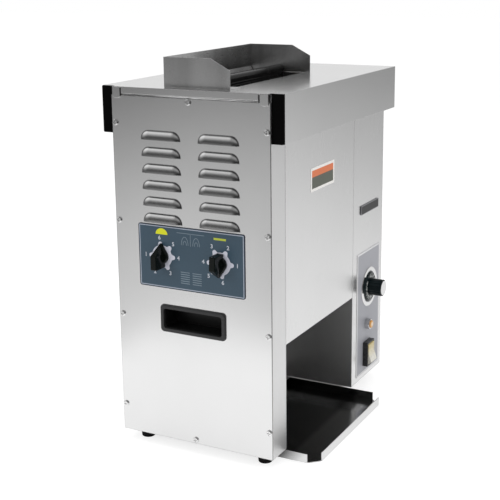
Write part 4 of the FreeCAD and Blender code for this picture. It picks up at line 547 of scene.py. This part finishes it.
def knob_plate_print():
    material, tree, shader = surface("knob_plate_print")
    depth = plate_distance(tree, "knob_plate", "xz", KNOB_PLATE_CORNER)
    fleck = noise(tree, scale=420.0, detail=3.0)
    tone = noise(tree, scale=16.0)
    ground = blend_colour(tree, tone, *KNOB_PLATE_BLUES)
    ground = blend_colour(
        tree, calc(tree, "MULTIPLY", fleck, KNOB_PLATE_FLECK_SHARE), ground, KNOB_PLATE_FLECK)
    line = band(tree, depth, -KNOB_PLATE_LINE_IN, -KNOB_PLATE_LINE_OUT)
    rim = band(tree, depth, -KNOB_PLATE_RIM_W, PAST_OUTLINE)
    colours = blend_colour(tree, rim, blend_colour(tree, line, ground, KNOB_PLATE_LINE), KNOB_PLATE_RIM)
    finish(
        tree, shader, colours, worn=tone, rough=(0.34, 0.46),
        edge=SMALL_EDGE, grain=fleck, strength=0.15, depth=FINE_GRAIN)
    return material


def label_print():
    material, tree, shader = surface("label_print")
    depth = plate_distance(tree, "control_label_plate", "yz", LABEL_CORNER)
    fleck = noise(tree, scale=500.0, detail=3.0)
    tone = noise(tree, scale=14.0)
    ground = blend_colour(tree, tone, *LABEL_GREYS)
    ground = blend_colour(tree, calc(tree, "MULTIPLY", fleck, LABEL_FLECK_SHARE), ground, LABEL_FLECK)
    rim = band(tree, depth, -LABEL_RIM_W, PAST_OUTLINE, soft=LABEL_RIM_SOFT)
    colours = blend_colour(tree, rim, ground, LABEL_RIM)
    finish(
        tree, shader, colours, worn=tone, rough=(0.36, 0.48),
        edge=SMALL_EDGE, grain=fleck, strength=0.15, depth=FINE_GRAIN)
    return material


def sticker_print():
    material, tree, shader = surface("sticker_print")
    depth = plate_distance(tree, "side_sticker", "yz", STICKER_CORNER)
    low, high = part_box("side_sticker")
    split = low.z + (high.z - low.z) * STICKER_SPLIT_SHARE
    in_upper = remap(
        tree, axes_of(tree)[2], split - STICKER_SPLIT_SOFT, split + STICKER_SPLIT_SOFT, 0.0, 1.0)
    fleck = noise(tree, scale=300.0, detail=3.0)
    upper = blend_colour(tree, fleck, *STICKER_ORANGES)
    lower = blend_colour(tree, fleck, *STICKER_DARKS)
    rim = band(tree, depth, -STICKER_RIM_W, PAST_OUTLINE, soft=STICKER_RIM_SOFT)
    colours = blend_colour(tree, rim, blend_colour(tree, in_upper, lower, upper), STICKER_WHITE)
    finish(
        tree, shader, colours, worn=fleck, rough=(0.38, 0.5),
        edge=STICKER_EDGE, grain=fleck, strength=0.1, depth=FINE_GRAIN)
    return material


def badge_black():
    material, tree, shader = surface("badge_black")
    depth = plate_distance(tree, "side_badge", "yz", BADGE_CORNER)
    fleck = noise(tree, scale=700.0, detail=3.0)
    rim = band(tree, depth, -BADGE_RIM_W, PAST_OUTLINE, soft=BADGE_RIM_SOFT)
    colours = blend_colour(tree, rim, blend_colour(tree, fleck, *BADGE_BLACKS), BADGE_RIM)
    shader.inputs["Specular IOR Level"].default_value = BADGE_SHINE_SHARE
    feed(tree, shader.inputs["Metallic"], rim)
    finish(
        tree, shader, colours, worn=fleck, rough=(0.28, 0.4),
        edge=MOULDED_EDGE, grain=fleck, strength=0.1, depth=FINE_GRAIN)
    return material


def tray_steel():
    material, tree, shader = surface("tray_steel")
    low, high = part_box("landing_tray")
    axes = axes_of(tree)
    inner_x, front_y, rear_y = high.x - TRAY_SHEET, low.y + TRAY_SHEET, high.y - TRAY_SHEET
    in_x = remap(tree, axes[0], inner_x - TRAY_SOFT, inner_x, 1.0, 0.0)
    in_front = remap(tree, axes[1], front_y, front_y + TRAY_SOFT, 0.0, 1.0)
    # the rear lip's top edge takes nearly the full painted shade
    in_rear = remap(tree, axes[1], rear_y - TRAY_SOFT, rear_y, 1.0, TRAY_REAR_SHARE)
    # painted shade darkens everything but the outer faces of the front and right lips
    inside = calc(tree, "MULTIPLY", in_x, calc(tree, "MULTIPLY", in_front, in_rear))
    streak = noise(tree, scale=700.0, detail=3.0, stretch=GRAIN_ALONG["y"])
    cloudy = noise(tree, scale=12.0, detail=4.0)
    # painted reflection: a paler strip along the outer lip
    reflection_strip = remap(tree, axes[0], high.x - TRAY_STRIP_START, high.x - TRAY_STRIP_END, 0.0, 1.0)
    shaded_inside = blend_colour(tree, reflection_strip, blend_colour(tree, cloudy, *TRAY_SHADED), TRAY_REFLECTION_STRIP)
    colours = blend_colour(tree, inside, blend_colour(tree, streak, *TRAY_BARE), shaded_inside)
    shader.inputs["Metallic"].default_value = 1.0
    finish(
        tree, shader, colours, worn=cloudy, rough=(0.13, 0.22),
        edge=MOULDED_EDGE, grain=streak, strength=0.08, depth=MOULDED_GRAIN)
    return material


def lamp_amber():
    material, tree, shader = surface("lamp_amber")
    away = distance_of(tree, *off_middle(tree, "lamp_lens", "yz"))
    ring = remap(tree, away, LENS_CORE_R, LENS_RING_R, 0.0, 1.0)
    moulded = noise(tree, scale=500.0)
    glint = calc(tree, "MULTIPLY", moulded, LENS_GLINT_SHARE)
    colours = blend_colour(tree, glint, blend_colour(tree, ring, LENS_CORE, LENS_AMBER), LENS_GLINT)
    shader.inputs["Coat Weight"].default_value = LENS_COAT_SHARE
    finish(
        tree, shader, colours, worn=moulded, rough=(0.18, 0.3),
        edge=MOULDED_EDGE, grain=moulded, strength=0.2, depth=PAINT_GRAIN)
    return material


def rocker_cream():
    material, tree, shader = surface("rocker_cream")
    low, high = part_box("switch_rocker")
    height = remap(tree, axes_of(tree)[2], low.z, high.z, 0.0, 1.0)
    moulded = noise(tree, scale=350.0)
    mixed = calc(tree, "ADD", height, calc(tree, "MULTIPLY", moulded, ROCKER_MOTTLE_SHARE))
    colours = blend_colour(tree, remap(tree, mixed, *ROCKER_CHANGE), ROCKER_CREAM, ROCKER_AMBER)
    shader.inputs["Coat Weight"].default_value = ROCKER_COAT_SHARE
    finish(
        tree, shader, colours, worn=moulded, rough=(0.22, 0.34),
        edge=SOFT_EDGE, grain=moulded, strength=0.15, depth=MOULDED_GRAIN)
    return material


def release_fabric():
    material, tree, shader = surface("release_fabric")
    threads = [
        put(tree, "ShaderNodeTexWave", {"bands_direction": way}, Vector=place_of(tree), Scale=WEAVE_SCALE)
        for way in "YZ"]
    weave = calc(tree, "MULTIPLY", *[thread.outputs["Fac"] for thread in threads])
    feed(tree, shader.inputs["Base Color"], blend_colour(tree, weave, *WEAVE_BROWNS))
    feed(tree, shader.inputs["Roughness"], remap(tree, weave, 0.0, 1.0, *WEAVE_ROUGH_SHARES))
    rounded_normal(tree, shader, FINE_EDGE, weave, strength=0.3, distance=CLOTH_GRAIN)
    return material


def grey(tone):
    return (tone, tone, tone)


STEEL = grey(0.80)
PALE_STEEL = grey(0.84)
MID_STEEL = grey(0.66)
# Darker steel for the chute: painted shade inside the chamber
CHUTE_SHADED_STEEL = grey(0.44)
BLACK = (0.016, 0.016, 0.017)
MATERIALS = {
    "front_steel": steel("front_steel", STEEL, roughness=0.23, edge=PANEL_EDGE, dark_share=louver_dark),
    "side_steel": steel("side_steel", PALE_STEEL, roughness=0.26, edge=COVER_EDGE, seed=3.0),
    "hood_steel": steel("hood_steel", STEEL, roughness=0.20, grain="y", edge=HOOD_EDGE, seed=5.0),
    "feeder_steel": steel(
        "feeder_steel", grey(0.86), roughness=0.28, grain="y", cloud_share=0.08, seed=7.0,
        dark_share=feeder_dark),
    "inner_steel": steel("inner_steel", grey(0.76), roughness=0.46, grain="y", cloud_share=0.08, seed=9.0),
    "chute_steel": steel("chute_steel", CHUTE_SHADED_STEEL, roughness=0.30, grain="y", cloud_share=0.10, seed=11.0),
    "tray_steel": tray_steel(),
    "screw_steel": steel(
        "screw_steel", PALE_STEEL, roughness=0.18, grain_scale=2500, edge=SMALL_EDGE, seed=13.0),
    "shaft_steel": steel("shaft_steel", MID_STEEL, roughness=0.22, grain="y", edge=FINE_EDGE, seed=15.0),
    "handle_plastic": handle_plastic(),
    "knob_plastic": plastic(
        "knob_plastic", (0.004, 0.006, 0.005), roughness=0.13, grain_depth=POLISHED_GRAIN, shine=0.16),
    "dial_plastic": plastic(
        "dial_plastic", (0.006, 0.012, 0.014), roughness=0.24, grain_depth=POLISHED_GRAIN, shine=0.25),
    "knob_plate_print": knob_plate_print(),
    "label_print": label_print(),
    "bright_trim": steel("bright_trim", grey(0.88), roughness=0.16, grain_scale=2000, edge=SMALL_EDGE),
    "lamp_amber": lamp_amber(),
    "switch_black": plastic("switch_black", BLACK, roughness=0.28, grain_depth=FINE_GRAIN),
    "rocker_cream": rocker_cream(),
    "badge_black": badge_black(),
    "sticker_print": sticker_print(),
    "foot_rubber": rubber("foot_rubber", grey(0.005)),
    "belt_rubber": rubber("belt_rubber", (0.020, 0.019, 0.018)),
    "roller_aluminium": steel("roller_aluminium", (0.74, 0.75, 0.76), roughness=0.28, grain="y", seed=17.0),
    "platen_aluminium": steel("platen_aluminium", (0.60, 0.59, 0.57), roughness=0.32, grain="y", seed=19.0),
    "release_fabric": release_fabric(),
    "divider_black": plastic(
        "divider_black", grey(0.006), roughness=0.22, grain_depth=POLISHED_GRAIN, shine=0.3),
    "element_sheath": steel("element_sheath", (0.16, 0.14, 0.13), roughness=0.40, grain_scale=600, seed=21.0),
    "bush_brass": steel("bush_brass", (0.72, 0.50, 0.24), roughness=0.28, grain_scale=1500, seed=23.0),
    "gear_steel": steel("gear_steel", grey(0.40), roughness=0.34, grain_scale=1200, seed=25.0),
    "motor_paint": painted("motor_paint", (0.045, 0.052, 0.060), roughness=0.45),
    "housing_black": painted("housing_black", BLACK, roughness=0.40),
}


# Nodes whose finish differs from that of their slot's other nodes
NODE_MATERIALS = {
    "hood_end_caps": plastic("end_cap_plastic", grey(0.002), roughness=0.38, edge=SOFT_EDGE, shine=0.04),
    "lamp_body": steel("lamp_barrel_steel", MID_STEEL, roughness=0.14, grain_scale=2000, edge=SMALL_EDGE),
    "front_housing": steel("front_housing_steel", PALE_STEEL, roughness=0.42, edge=COVER_EDGE, seed=4.0),
}


def dress_nodes():
    for entry in frame["record"]["subparts"]:
        mesh = frame["nodes"][entry["node"]].data
        mesh.materials.clear()
        mesh.materials.append(NODE_MATERIALS.get(entry["node"], MATERIALS[entry["material_slot"]]))


# Pieces made in the scene
def mesh_piece(name, points, faces, material, body):
    mesh = bpy.data.meshes.new(name)
    mesh.from_pydata(points, [], faces)
    mesh.validate()
    mesh.update()
    mesh.materials.append(material)
    piece = bpy.data.objects.new(name, mesh)
    bpy.context.scene.collection.objects.link(piece)
    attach(piece, body)
    return piece


class Sheet:
    """Flat shapes, a hair thick, drawn in (across, up) on one face and gathered into one mesh."""

    def __init__(self, origin, across, up, out):
        self.origin = Vector(origin)
        self.across = Vector(across)
        self.up = Vector(up)
        self.out = Vector(out)
        self.points = []
        self.faces = []

    def outline(self, contour):
        count = len(contour)
        start = len(self.points)
        top = start + count
        for lift in (0.0, PRINT_T):
            for right, rise in contour:
                self.points.append(self.origin + self.across * right + self.up * rise + self.out * lift)
        self.faces.append(tuple(top + index for index in range(count)))
        for index in range(count):
            following = (index + 1) % count
            self.faces.append((start + index, start + following, top + following, top + index))

    def box(self, centre, width, height, turn=0.0):
        half_w, half_h = width / 2, height / 2
        corners = ((-half_w, -half_h), (half_w, -half_h), (half_w, half_h), (-half_w, half_h))
        cosine, sine = math.cos(turn), math.sin(turn)
        self.outline([
            (centre[0] + right * cosine - rise * sine, centre[1] + right * sine + rise * cosine)
            for right, rise in corners])

    def stroke(self, path, width):
        sides = [[], []]
        for index, point in enumerate(path):
            before = Vector(path[max(index - 1, 0)])
            after = Vector(path[min(index + 1, len(path) - 1)])
            way = (after - before).normalized()
            across = Vector((-way.y, way.x)) * (width / 2)
            sides[0].append(Vector(point) - across)
            sides[1].append(Vector(point) + across)
        self.outline([tuple(point) for point in sides[0] + sides[1][::-1]])

    def text(self, words, centre, size, turn=0.0):
        curve = bpy.data.curves.new("words", "FONT")
        curve.body = words
        curve.size = size
        curve.offset = size * LETTER_BOLD_SHARE
        curve.align_x = "CENTER"
        curve.align_y = "CENTER"
        curve.extrude = PRINT_T / 2
        curve.resolution_u = LETTER_STEPS
        letter = bpy.data.objects.new("words", curve)
        mesh = bpy.data.meshes.new_from_object(letter)
        start = len(self.points)
        cosine, sine = math.cos(turn), math.sin(turn)
        for vertex in mesh.vertices:
            right = centre[0] + vertex.co.x * cosine - vertex.co.y * sine
            rise = centre[1] + vertex.co.x * sine + vertex.co.y * cosine
            lift = vertex.co.z + PRINT_T / 2
            self.points.append(self.origin + self.across * right + self.up * rise + self.out * lift)
        for polygon in mesh.polygons:
            self.faces.append(tuple(start + index for index in polygon.vertices))
        bpy.data.meshes.remove(mesh)
        bpy.data.objects.remove(letter)
        bpy.data.curves.remove(curve)

    def piece(self, name, material, body, slot):
        return mesh_piece(name, self.points, self.faces, material, body)


def hood_hem():
    low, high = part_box("front_panel")
    middle_y = low.y + LOUVER_OUT - HEM_OUT
    middle_z = high.z + HEM_RISE
    points = []
    for across in (low.x + HEM_INSET, high.x - HEM_INSET):
        for index in range(HEM_SIDES):
            angle = 2 * math.pi * index / HEM_SIDES
            points.append((across, middle_y + HEM_R * math.cos(angle), middle_z + HEM_R * math.sin(angle)))
    faces = [tuple(range(HEM_SIDES)), tuple(range(2 * HEM_SIDES - 1, HEM_SIDES - 1, -1))]
    for index in range(HEM_SIDES):
        following = (index + 1) % HEM_SIDES
        faces.append((index, index + HEM_SIDES, following + HEM_SIDES, following))
    piece = mesh_piece("hood_bar_hem", points, faces, MATERIALS["bright_trim"], "chassis")
    for polygon in piece.data.polygons[2:]:
        polygon.use_smooth = True


def release_cloth():
    low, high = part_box("release_sheet")
    half_t = CLOTH_T / 2
    left, right, top = low.x + half_t, high.x - half_t, high.z - half_t
    path = [(left, low.z)]
    path += [(left, low.z + (top - low.z) * step / CLOTH_STEPS) for step in range(1, CLOTH_STEPS)]
    path += [(left, top - half_t), (left + half_t, top), (right - half_t, top), (right, top - half_t)]
    path += [(right, top - (top - low.z) * step / CLOTH_STEPS) for step in range(1, CLOTH_STEPS)]
    path += [(right, low.z)]
    rows = []
    for index, point in enumerate(path):
        way = Vector(path[min(index + 1, len(path) - 1)]) - Vector(path[max(index - 1, 0)])
        out = Vector((-way.y, way.x)).normalized() * half_t
        rows.append((Vector(point) - out, Vector(point) + out))
    points = []
    for across in (low.y, high.y):
        for side in (0, 1):
            points += [(row[side].x, across, row[side].y) for row in rows]
    count = len(path)
    faces = []
    for index in range(count - 1):
        for first, second in ((0, 1), (1, 3), (3, 2), (2, 0)):
            start, end = first * count + index, second * count + index
            faces.append((start, start + 1, end + 1, end))
    for index in (0, count - 1):
        faces.append((index, count + index, 3 * count + index, 2 * count + index))
    piece = mesh_piece(
        "release_cloth", points, faces, MATERIALS["release_fabric"], "chassis")
    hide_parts("release_sheet")


def joint_place(name):
    return next(Vector(joint["pos_m"]) for joint in frame["joints"] if joint["name"] == name)


def star_contour(turn_deg):
    contour = []
    for step in range(0, 360, STAR_STEP_DEG):
        lift = 0.0
        for lobe in DIGIT_ANGLES_DEG:
            away = (step - lobe - turn_deg + 180) % 360 - 180
            lift = max(lift, math.exp(-(away / STAR_TIP_WIDTH_DEG) ** STAR_TIP_POWER))
        radius = STAR_R + (STAR_TIP_R - STAR_R) * lift
        contour.append((radius * math.cos(math.radians(step)), radius * math.sin(math.radians(step))))
    return contour


def arch(centre, radius_w, radius_h):
    path = []
    for index in range(ARCH_STEPS + 1):
        angle = math.pi * index / ARCH_STEPS
        path.append((centre[0] + radius_w * math.cos(angle), centre[1] + radius_h * math.sin(angle)))
    return path


def knob_plate_prints():
    face_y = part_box("knob_plate")[0].y
    left, right = joint_place("crown_dial_turn"), joint_place("heel_dial_turn")
    middle = (left + right) / 2
    sheets = {}
    for key in ("stars", "numbers", "dome", "bar", "pictogram"):
        sheets[key] = Sheet((middle.x, face_y, middle.z), (1, 0, 0), (0, 0, 1), (0, -1, 0))
    for dial, turn in ((left, 180), (right, 0)):
        off = dial.x - middle.x
        sheets["stars"].outline([(off + across, up) for across, up in star_contour(turn)])
        for number, angle_deg in enumerate(DIGIT_ANGLES_DEG, start=1):
            angle = math.radians(angle_deg + turn)
            centre = (off + DIGIT_R * math.cos(angle), DIGIT_R * math.sin(angle))
            sheets["numbers"].text(str(number), centre, DIGIT_SIZE)
    sheets["dome"].outline(arch((left.x - middle.x, DOME_RISE), DOME_W / 2, DOME_H))
    sheets["bar"].box((right.x - middle.x, BAR_RISE), BAR_W, BAR_H)
    for column in range(DASH_COLUMNS):
        for row in range(DASH_ROWS):
            centre_x = (column - (DASH_COLUMNS - 1) / 2) * (DASH_W + DASH_GAP)
            sheets["pictogram"].box((centre_x, DASH_TOP - row * DASH_PITCH), DASH_W, DASH_H)
    sheets["pictogram"].box((0, ARCH_BASE + POST_H / 2 - STROKE_W), STROKE_W, POST_H)
    sheets["pictogram"].box((0, ARCH_BASE + POST_H), RAIL_W, STROKE_W)
    for side in (-1, 1):
        for share in ARCH_SHARES:
            path = arch((side * ARCH_OFF, ARCH_BASE), ARCH_W / 2 * share, ARCH_H * share)
            sheets["pictogram"].stroke(path, STROKE_W)
    inks = {
        "stars": ink("ink_white", (0.66, 0.67, 0.76), vary_share=0.03),
        "numbers": ink("ink_pale", (0.62, 0.65, 0.72)),
        "dome": ink("ink_yellow", (0.74, 0.76, 0.010), vary_share=0.04),
        "bar": ink("ink_dull_yellow", (0.50, 0.56, 0.045), vary_share=0.04),
        "pictogram": ink("ink_grey_blue", (0.19, 0.25, 0.30), roughness=0.45, vary_share=0.15),
    }
    for key, sheet in sheets.items():
        sheet.piece("knob_plate_" + key, inks[key], "chassis", "knob_plate_print")


def dial_scale():
    centre = joint_place("thermostat_turn")
    skirt_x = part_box("dial_ring")[0].x + SKIRT_FACE_OUT
    sheet = Sheet((skirt_x, centre.y, centre.z), (0, 1, 0), (0, 0, 1), (1, 0, 0))
    for index in range(SCALE_COUNT):
        turn = math.radians(90 - SCALE_SWEEP_DEG * index / (SCALE_COUNT - 1))
        place = (SCALE_R * math.cos(turn), SCALE_R * math.sin(turn))
        sheet.text(str(SCALE_FIRST + SCALE_STEP * index), place, SCALE_SIZE, turn - math.pi / 2)
    marks = (SCALE_COUNT - 1) * TICKS_PER_STEP
    for index in range(marks + 1):
        turn = math.radians(90 - SCALE_SWEEP_DEG * index / marks)
        place = (TICK_R * math.cos(turn), TICK_R * math.sin(turn))
        sheet.box(place, TICK_L, TICK_W, turn)
    white = ink("ink_dial_white", (0.86, 0.88, 0.86))
    sheet.piece("thermostat_scale", white, "thermostat_dial", "dial_plastic")


# Studio
def studio_light(name, place, size, power):
    lamp = bpy.data.lights.new(name, "AREA")
    lamp.size = size
    lamp.energy = power
    holder = bpy.data.objects.new(name, lamp)
    bpy.context.scene.collection.objects.link(holder)
    holder.location = place
    holder.visible_glossy = False
    holder.rotation_euler = (Vector(AIM_POINT) - Vector(place)).to_track_quat("-Z", "Y").to_euler()


def seen_share(tree):
    rays = put(tree, "ShaderNodeLightPath").outputs
    mirrored = calc(tree, "MAXIMUM", rays["Is Glossy Ray"], rays["Is Transmission Ray"])
    return rays["Is Camera Ray"], mirrored


# Painted shadow on the floor under the whole machine, for mirrored rays
def under_object(tree, axes):
    low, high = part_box("front_housing")[0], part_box("control_housing")[1]
    return calc(
        tree, "MULTIPLY",
        band(tree, axes[0], low.x, high.x, soft=UNDER_SOFT),
        band(tree, axes[1], low.y, high.y, soft=UNDER_SOFT))


# Painted shadow on the floor under the control housing, for camera rays
def under_controls(tree, axes):
    low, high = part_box("control_housing")
    return calc(
        tree, "MULTIPLY",
        band(tree, axes[0], low.x, high.x - CONTROL_SHADE_INSET, soft=CONTROL_SHADE_SOFT),
        band(tree, axes[1], low.y, high.y - CONTROL_SHADE_INSET, soft=CONTROL_SHADE_SOFT))


def mirrored_floor(tree, axes):
    off_x = calc(tree, "DIVIDE", calc(tree, "ABSOLUTE", axes[0]), TABLE_HALF_X)
    off_y = calc(tree, "ABSOLUTE", calc(tree, "SUBTRACT", axes[1], TABLE_CENTRE_Y))
    away = calc(tree, "MAXIMUM", off_x, calc(tree, "DIVIDE", off_y, TABLE_HALF_Y))
    depth = calc(tree, "MAXIMUM", calc(tree, "ABSOLUTE", axes[1]), LEAST_DEPTH)
    lean = calc(tree, "DIVIDE", axes[0], depth)
    far = remap(tree, away, *FAR_FLOOR)
    left_shade = calc(tree, "MULTIPLY", remap(tree, lean, *LEFT_SHADE), far)
    right_start = remap(tree, away, *RIGHT_SHADE_START)
    right_shade = calc(tree, "MULTIPLY", remap(tree, lean, *RIGHT_SHADE), right_start)
    rear_shade = calc(tree, "MULTIPLY", remap(tree, lean, *REAR_SHADE), far)
    front = ramp(tree, away, FRONT_FLOOR_TONES, TONE_REACH)
    front = blend_colour(tree, calc(tree, "MAXIMUM", left_shade, right_shade), front, NO_LIGHT)
    rear = blend_colour(tree, rear_shade, ramp(tree, axes[1], REAR_FLOOR_TONES, TONE_REACH), NO_LIGHT)
    tone = blend_colour(tree, remap(tree, axes[1], *FLOOR_TO_REAR), front, rear)
    return blend_colour(tree, under_object(tree, axes), tone, UNDER_SHADOW_TONE)


def pale_floor():
    mesh = bpy.data.meshes.new("floor")
    mesh.from_pydata(
        [(-FLOOR_R, -FLOOR_R, 0), (FLOOR_R, -FLOOR_R, 0), (FLOOR_R, FLOOR_R, 0), (-FLOOR_R, FLOOR_R, 0)],
        [], [(0, 1, 2, 3)])
    floor = bpy.data.objects.new("floor", mesh)
    bpy.context.scene.collection.objects.link(floor)
    material = bpy.data.materials.new("floor")
    material.use_nodes = True
    tree = material.node_tree
    tree.nodes.clear()
    camera_ray, mirrored = seen_share(tree)
    axes = axes_of(tree)
    plain = blend_colour(tree, under_controls(tree, axes), WHITE, CONTROL_SHADE_TONE)
    shown = blend_colour(tree, mirrored, plain, mirrored_floor(tree, axes))
    seen = calc(tree, "MAXIMUM", camera_ray, mirrored)
    kept = blend_colour(tree, FLOOR_DIFFUSE_SHARE, NO_LIGHT, shown)
    diffuse = put(tree, "ShaderNodeBsdfDiffuse", Color=blend_colour(tree, seen, FLOOR_TONE, kept))
    glow = put(tree, "ShaderNodeEmission", Color=shown, Strength=calc(tree, "MULTIPLY", seen, FLOOR_GLOW))
    both = put(tree, "ShaderNodeAddShader")
    feed(tree, both.inputs[0], diffuse.outputs[0])
    feed(tree, both.inputs[1], glow.outputs[0])
    output = put(tree, "ShaderNodeOutputMaterial")
    feed(tree, output.inputs["Surface"], both.outputs[0])
    mesh.materials.append(material)


def studio_world():
    world = bpy.data.worlds.new("studio")
    bpy.context.scene.world = world
    world.use_nodes = True
    tree = world.node_tree
    tree.nodes.clear()
    camera_ray, mirrored = seen_share(tree)
    way = put(tree, "ShaderNodeTexCoord").outputs["Generated"]
    parts = put(tree, "ShaderNodeSeparateXYZ", Vector=way).outputs
    front = ramp(tree, parts[2], FRONT_SKY_TONES)
    rear = ramp(tree, parts[2], REAR_SKY_TONES)
    rear = blend_colour(tree, remap(tree, parts[0], *REAR_SKY_SHADE), rear, NO_LIGHT)
    sky = blend_colour(tree, remap(tree, parts[1], *SKY_TO_REAR), front, rear)
    softbox = put(tree, "ShaderNodeVectorMath", {"operation": "DOT_PRODUCT"})
    feed(tree, softbox.inputs[0], way)
    feed(tree, softbox.inputs[1], Vector(SOFTBOX_WAY).normalized())
    tone = calc(tree, "ADD", sky, remap(tree, softbox.outputs["Value"], *SOFTBOX_GLOW))
    unmirrored = calc(tree, "SUBTRACT", 1.0, mirrored)
    strength = calc(
        tree, "ADD", calc(tree, "MULTIPLY", unmirrored, WORLD_LIGHT), calc(tree, "MULTIPLY", mirrored, tone))
    strength = calc(tree, "MAXIMUM", strength, camera_ray)
    background = put(tree, "ShaderNodeBackground", Color=opaque(WHITE), Strength=strength)
    output = put(tree, "ShaderNodeOutputWorld")
    feed(tree, output.inputs["Surface"], background.outputs[0])


def photo_camera():
    data = bpy.data.cameras.new("photo_camera")
    data.sensor_width = SENSOR_W_MM
    data.lens = FOCAL_PX * SENSOR_W_MM / PICTURE_PX
    data.shift_y = CAMERA_SHIFT_SHARE
    camera = bpy.data.objects.new("photo_camera", data)
    bpy.context.scene.collection.objects.link(camera)
    turn = Matrix.Rotation(math.radians(CAMERA_AZIMUTH_DEG), 4, "Z")
    tilt = Matrix.Rotation(math.radians(90 - CAMERA_DOWN_DEG), 4, "X")
    roll = Matrix.Rotation(math.radians(CAMERA_ROLL_DEG), 4, "Z")
    camera.matrix_world = Matrix.Translation(CAMERA_PLACE) @ turn @ tilt @ roll
    bpy.context.scene.camera = camera


dress_nodes()
hood_hem()
release_cloth()
knob_plate_prints()
dial_scale()
photo_camera()
pale_floor()
studio_world()
studio_light("top_light", TOP_LIGHT_PLACE, TOP_LIGHT_SIZE, TOP_LIGHT_W)
studio_light("key_light", KEY_LIGHT_PLACE, KEY_LIGHT_SIZE, KEY_LIGHT_W)
studio_light("fill_light", FILL_LIGHT_PLACE, FILL_LIGHT_SIZE, FILL_LIGHT_W)
bpy.context.scene.view_settings.view_transform = "Standard"
